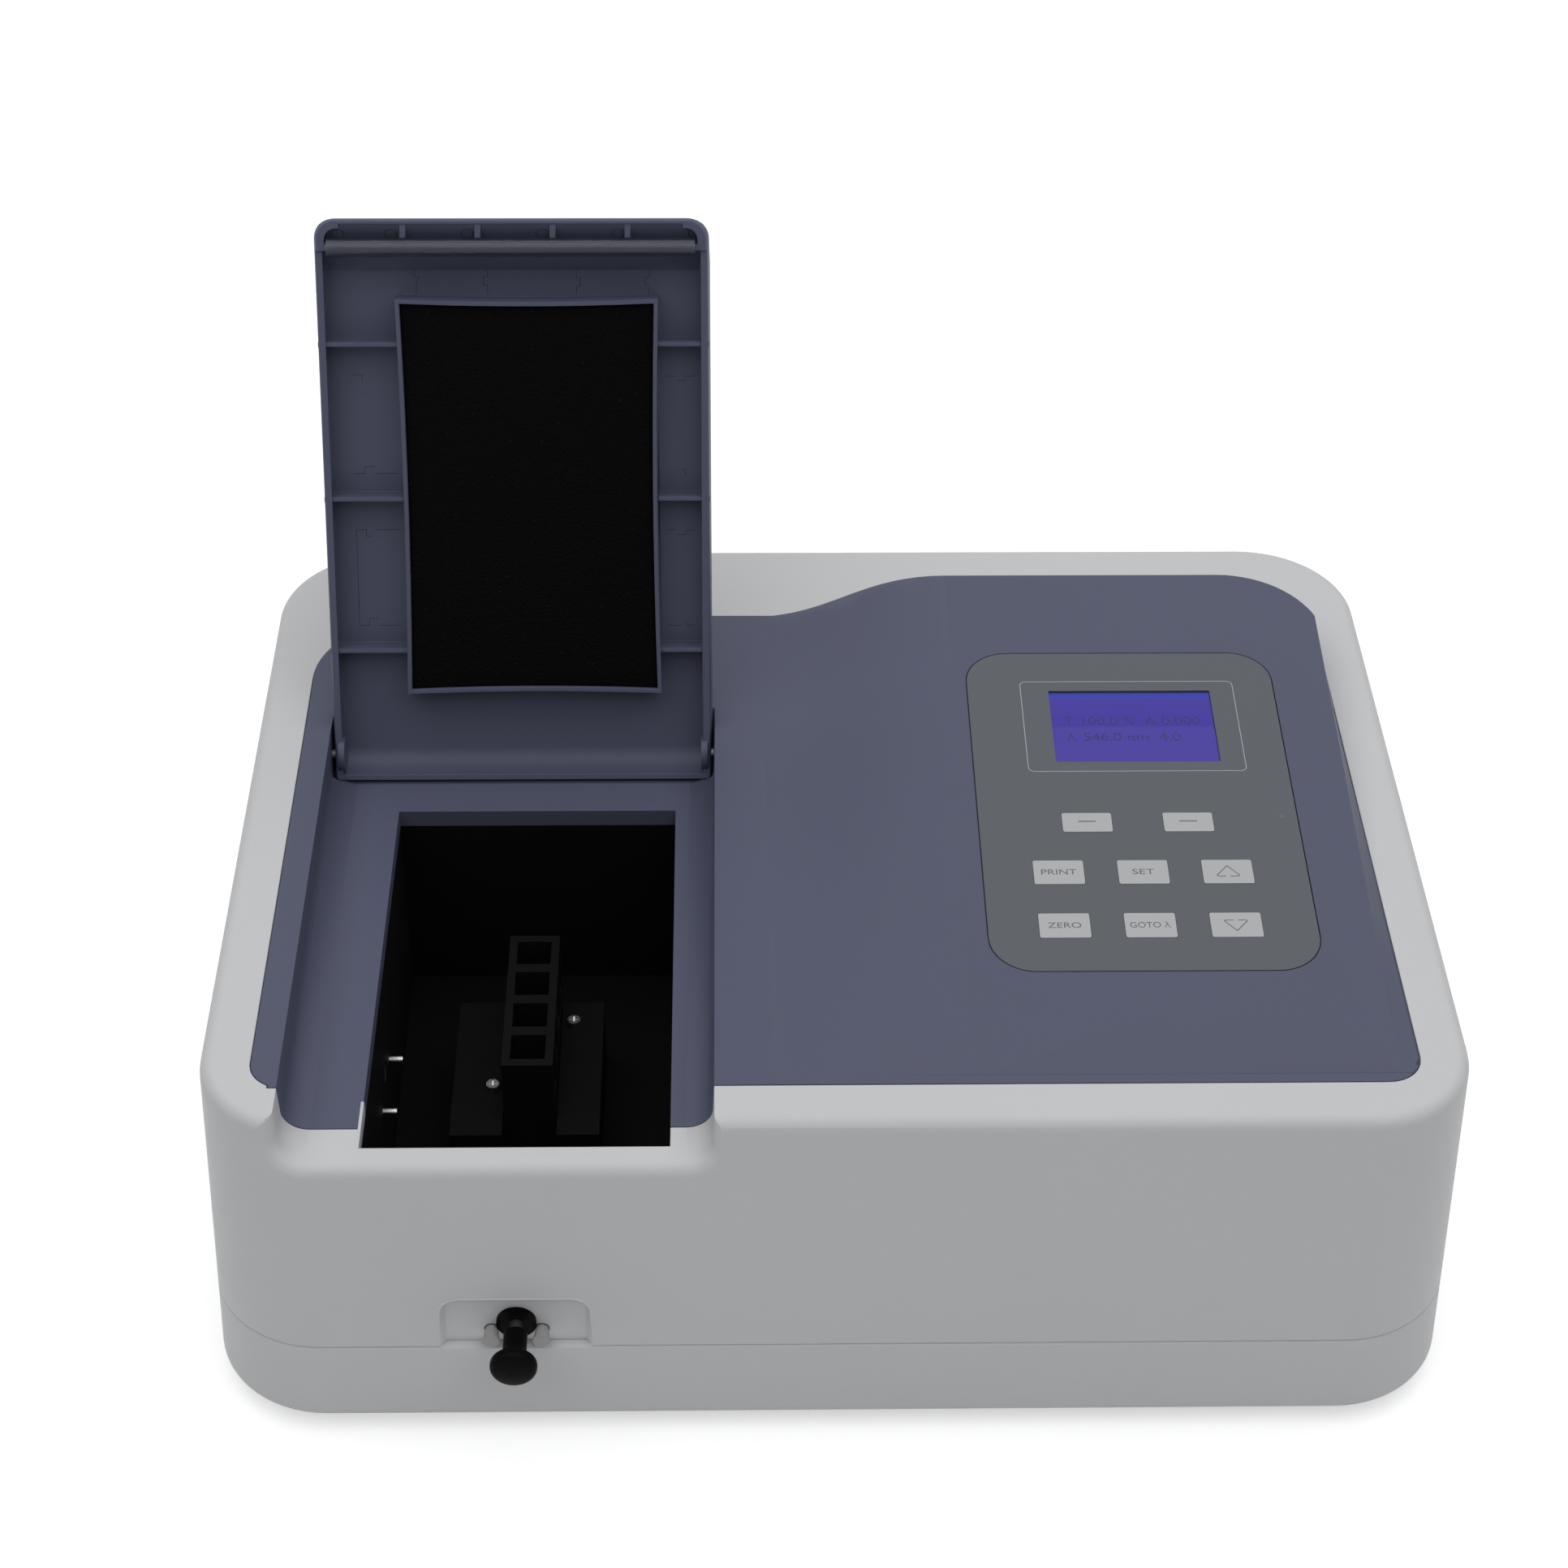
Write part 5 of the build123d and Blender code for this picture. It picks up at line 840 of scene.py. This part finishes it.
# %% Arrows and dashes
line_width, dash_width, half_dash = 0.36 * MM, 0.55 * MM, 3 * MM
tip_rise, base_drop, half_base = 2.9 * MM, 2.3 * MM, 4.0 * MM
corner_cut, half_gap = 0.5 * MM, 0.95 * MM
for key, x, y, points_up in [
    ("key_upper_right", column_x[2], upper_y, 1),
    ("key_lower_right", column_x[2], lower_y, -1),
]:
    arrow = bmesh.new()
    tip = (x, y + points_up * tip_rise)
    base_y = y - points_up * base_drop
    for side in (-1, 1):
        corner = (x + side * half_base, base_y + points_up * corner_cut)
        foot = (x + side * (half_base - corner_cut), base_y)
        gap_end = (x + side * half_gap, base_y)
        stroke(arrow, tip, corner, line_width, key_top)
        stroke(arrow, corner, foot, line_width, key_top)
        stroke(arrow, foot, gap_end, line_width, key_top)
    add_piece(key + "_print", arrow, "grey_ink", key, on_console, smooth=False)

for key, x in [("key_soft_left", 93.7 * MM), ("key_soft_right", 130.4 * MM)]:
    dash = bmesh.new()
    stroke(dash, (x - half_dash, soft_y), (x + half_dash, soft_y), dash_width, key_top)
    add_piece(key + "_print", dash, "grey_ink", key, on_console, smooth=False)
print("key prints made")

# %% [markdown]
# ## Print on the film and characters on the display
# The grey film carries one pale line round the display and a small dark dot
# for a light sensor. The display shows two faint rows, a plain reading: the
# share of light that gets through, absorbance, wavelength and slit width.

# %% Line round the display, and the dot
film_line = bmesh.new()
outline_left, outline_right = 74.5 * MM, 155.0 * MM
outline_low, outline_high = 148.3 * MM, 198.0 * MM
corner = 2.2 * MM
rule_width = 0.28 * MM
for start, end in [
    ((outline_left + corner, outline_low), (outline_right - corner, outline_low)),
    ((outline_left + corner, outline_high), (outline_right - corner, outline_high)),
    ((outline_left, outline_low + corner), (outline_left, outline_high - corner)),
    ((outline_right, outline_low + corner), (outline_right, outline_high - corner)),
]:
    stroke(film_line, start, end, rule_width, 0)
for centre_x, centre_y, first in [
    (outline_right - corner, outline_high - corner, 0),
    (outline_left + corner, outline_high - corner, 1),
    (outline_left + corner, outline_low + corner, 2),
    (outline_right - corner, outline_low + corner, 3),
]:
    bend = [radians(first * 90 + step * 15) for step in range(7)]
    spots = [(centre_x + corner * cos(turn), centre_y + corner * sin(turn)) for turn in bend]
    for start, end in zip(spots, spots[1:]):
        stroke(film_line, start, end, rule_width, 0)
add_piece(
    "display_outline", film_line, "pale_ink", "housing", on_console, smooth=False
)

sensor_x, sensor_y, sensor_radius = 164.8 * MM, 124 * MM, 0.9 * MM
sensor = bmesh.new()
bmesh.ops.create_cone(
    sensor,
    cap_ends=True,
    segments=24,
    radius1=sensor_radius,
    radius2=sensor_radius,
    depth=ink_thickness,
    matrix=Matrix.Translation((sensor_x, sensor_y, ink_thickness / 2)),
)
add_piece("sensor_dot", sensor, "grey_ink", "housing", on_console, smooth=False)

# %% Characters on the display
characters = Finish(
    "display_dots", (0.015, 0.012, 0.05), 0.4, specular_ior_level=0.1, emission_strength=1.0
)
dots = characters.grain(0.0004, 1.0)
dot_color = characters.blend(dots, (0.030, 0.022, 0.125, 1), (0.038, 0.028, 0.15, 1))
characters.feed(characters.shader, "Emission Color", dot_color)
finishes["display_dots"] = characters.material
screen_depth, screen_gap, screen_letters = 1.0 * MM, 0.02 * MM, 4.3 * MM
for row_name, words, width, x, y in [
    ("display_row_upper", "T 100.0 %  A 0.000", 51.0, 115.2 * MM, 176.6 * MM),
    ("display_row_lower", "λ 546.0 nm  4.0", 42.5, 111.4 * MM, 167.8 * MM),
]:
    lettering(
        row_name, words, x, y, screen_letters, width * MM,
        "display_dots", "housing", -screen_depth + screen_gap,
    )

# %% [markdown]
# ## The sockets on the back
# A data socket is a thin steel shell in the shape of a D, so that its plug
# goes in one way round. A black block in it holds two rows of pins, and a hex
# nut on each side takes the plug's screws. The shell starts as a box that is
# narrowed at one side and rounded along its length. Its end is then inset
# twice: once for the edge of the steel, and once down the inside.

# %% Shells, inserts, pins and nuts
rear_inside = 170.37 * MM
plate_thickness = 2.0 * MM
shell_length, shell_height, shell_wall = 6.0 * MM, 9.0 * MM, 0.5 * MM
cavity_depth = 5.2 * MM
pin_pitch, row_pitch = 2.76 * MM, 2.84 * MM
pin_length, pin_radius, pin_tip_radius, pin_rise = 2.8 * MM, 0.5 * MM, 0.35 * MM, 1.3 * MM
flange_wider, flange_height, flange_foot = 13.0 * MM, 12.6 * MM, -1.0 * MM
insert_narrower, insert_height, insert_depth = 1.2 * MM, 7.8 * MM, 1.4 * MM
shell_corner, flange_corner, insert_corner = 2.4 * MM, 1.0 * MM, 1.9 * MM
nut_spacing, nut_radius, nut_edge, nut_hole_depth = 3.5, 2.8 * MM, 1.0 * MM, 2.5 * MM
nut_low, nut_high = plate_thickness, 5.8 * MM
side_lean = radians(10)
sliver = 0.02 * MM
# Each row holds: x, z and width in millimetres, and the pins of the longer row
sockets = [(-62.0, 94.5, 18.0, 5), (-34.0, 64.5, 40.0, 13)]


def d_prism(shape, width, height, foot, top, corner, to_place, wall=0.0, cavity=0.0):
    """Adds a D-shaped block along Z, hollowed from its top where a wall is given."""
    before = set(shape.verts)
    block(shape, (-width / 2, -height / 2, foot), (width / 2, height / 2, top))
    for vert in set(shape.verts) - before:
        narrower = (height / 2 - vert.co.y) * tan(side_lean)
        vert.co.x -= narrower if vert.co.x > 0 else -narrower
    new_edges = [edge for edge in shape.edges if edge.verts[0] not in before]
    half_length = (top - foot) / 2
    along = [
        edge for edge in new_edges if abs(edge.verts[0].co.z - edge.verts[1].co.z) > half_length
    ]
    soften(shape, along, corner, 5)
    shape.normal_update()
    if wall:
        new_faces = [face for face in shape.faces if face.verts[0] not in before]
        end_face = next(
            face for face in new_faces if all(vert.co.z > top - sliver for vert in face.verts)
        )
        bmesh.ops.inset_individual(shape, faces=[end_face], thickness=wall, depth=0)
        bmesh.ops.inset_individual(shape, faces=[end_face], thickness=sliver, depth=-cavity)
    made = [vert for vert in shape.verts if vert not in before]
    bmesh.ops.transform(shape, matrix=to_place, verts=made)


shells, inserts, pins = bmesh.new(), bmesh.new(), bmesh.new()
for port_x, port_z, width, longer_row in sockets:
    on_port = facing(Vector((port_x * MM, rear_inside, port_z * MM)), (0, 1, 0), (0, 0, 1))
    shell_width = width * MM
    insert_foot = shell_length - cavity_depth
    insert_top = insert_foot + insert_depth
    d_prism(
        shells, shell_width, shell_height, 0, shell_length, shell_corner, on_port,
        wall=shell_wall, cavity=cavity_depth,
    )
    flange_width = shell_width + flange_wider
    d_prism(shells, flange_width, flange_height, flange_foot, -sliver, flange_corner, on_port)
    insert_width = shell_width - insert_narrower
    d_prism(
        inserts, insert_width, insert_height, insert_foot, insert_top, insert_corner, on_port
    )
    for row, count in [(1, longer_row), (-1, longer_row - 1)]:
        for number in range(count):
            pin_x = (number - (count - 1) / 2) * pin_pitch
            spot = (pin_x, row * row_pitch / 2, insert_top + pin_rise)
            bmesh.ops.create_cone(
                pins,
                cap_ends=True,
                segments=10,
                radius1=pin_radius,
                radius2=pin_tip_radius,
                depth=pin_length,
                matrix=on_port @ Matrix.Translation(spot),
            )
    for side in (-1, 1):
        spot = (side * (width / 2 + nut_spacing) * MM, 0, (nut_low + nut_high) / 2)
        before = set(shells.faces)
        bmesh.ops.create_cone(
            shells,
            cap_ends=True,
            segments=6,
            radius1=nut_radius,
            radius2=nut_radius,
            depth=nut_high - nut_low,
            matrix=on_port @ Matrix.Translation(spot),
        )
        shells.normal_update()
        new_faces = set(shells.faces) - before
        nut_face = max(new_faces, key=lambda face: face.calc_center_median().y)
        for thickness, depth in [(nut_edge, 0), (sliver, -nut_hole_depth)]:
            bmesh.ops.inset_individual(shells, faces=[nut_face], thickness=thickness, depth=depth)
port_shells = add_piece("port_shells", shells, "steel", "housing")
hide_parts("data_ports")
add_piece("port_inserts", inserts, "black_plastic", "housing")
add_piece("port_pins", pins, "steel", "housing")
pin_counts = [2 * longer_row - 1 for *_, longer_row in sockets]
print("pins in the sockets:", pin_counts)

# %% [markdown]
# The rocker of the power switch has the usual two marks, a bar for on and a
# ring for off. Each lies on one of the two flat slopes of the rocker.

# %% Marks on the rocker
rocker_tilt = radians(7.0)
outward = Vector((0, cos(rocker_tilt), -sin(rocker_tilt)))
upward = Vector((0, sin(rocker_tilt), cos(rocker_tilt)))
rocker_middle = Vector((34.0 * MM, 172.17 * MM, 96.5 * MM))
slope_run, slope_rise = 4.7, 1.6
marks_out, marks_up = 2.5 * MM, 2.645 * MM
mark_radius, mark_width, half_bar, bar_width = 1.1 * MM, 0.35 * MM, 1.1 * MM, 0.4 * MM
rocker_marks = bmesh.new()
for side in (1, -1):
    slope_way = (slope_run * upward * side + slope_rise * outward).normalized()
    slope_normal = (slope_run * outward - slope_rise * upward * side).normalized()
    spot = rocker_middle + marks_out * outward + marks_up * upward * side
    on_slope = facing(spot, slope_normal, slope_way)
    if side == 1:
        ring(rocker_marks, mark_radius, mark_width, on_slope)
    else:
        before = set(rocker_marks.verts)
        stroke(rocker_marks, (0, -half_bar), (0, half_bar), bar_width, 0)
        made = [vert for vert in rocker_marks.verts if vert not in before]
        bmesh.ops.transform(rocker_marks, matrix=on_slope, verts=made)
add_piece("rocker_marks", rocker_marks, "pale_ink", "rocker", smooth=False)

# %% [markdown]
# ## Light, floor and background
# The instrument stands on white in a white surround, lit from above by a
# large soft box, so the top faces come out brighter than the front. Light
# Path tells which rays show the surround. Those of the camera, of mirror
# images and of clear glass see plain white, while the light that the surround
# gives to the object stays low.

# %% World, lamp and floor
world = bpy.data.worlds.new("studio")
world.use_nodes = True
bpy.context.scene.world = world
surround = Tree(world.node_tree)
ambient = surround.tree.nodes["Background"]
surround.feed(ambient, "Color", (0.95, 0.97, 1.0, 1))
surround.feed(ambient, "Strength", 0.11)
backdrop = surround.node("ShaderNodeBackground", inputs={"Color": (1, 1, 1, 1)})
low_light = Value(surround, ambient.outputs[0])
either = surround.node("ShaderNodeMixShader", inputs=[surround.shown(), low_light, backdrop])
surround.feed(surround.tree.nodes["World Output"], "Surface", either)


def soft_box(name, place, aim, width, power):
    """A square area lamp that points at a place."""
    lamp = bpy.data.lights.new(name, "AREA")
    lamp.shape = "SQUARE"
    lamp.size = width
    lamp.energy = power
    holder = bpy.data.objects.new(name, lamp)
    turn = (Vector(place) - Vector(aim)).to_track_quat("Z", "Y").to_matrix().to_4x4()
    holder.matrix_world = Matrix.Translation(place) @ turn
    bpy.context.scene.collection.objects.link(holder)


soft_box("top_box", place=(0.0, -0.2, 2.4), aim=(0, -0.1, 0.1), width=4.5, power=80)

paper = Finish("floor_paper", (0.85, 0.85, 0.85), 0.9, emission_strength=1.0)
paper.shade(paper.grain(0.4, 1.0), 0.99)
paper_glow = paper.blend(paper.shown(), (0, 0, 0, 1), (0.5, 0.5, 0.5, 1))
paper.feed(paper.shader, "Emission Color", paper_glow)
half_floor = 6.0
floor_shape = bmesh.new()
bmesh.ops.create_grid(floor_shape, x_segments=1, y_segments=1, size=half_floor)
floor_mesh = bpy.data.meshes.new("floor")
floor_shape.to_mesh(floor_mesh)
floor_shape.free()
floor_mesh.materials.append(paper.material)
floor = bpy.data.objects.new("floor", floor_mesh)
bpy.context.scene.collection.objects.link(floor)
bpy.context.scene.view_settings.view_transform = "Standard"
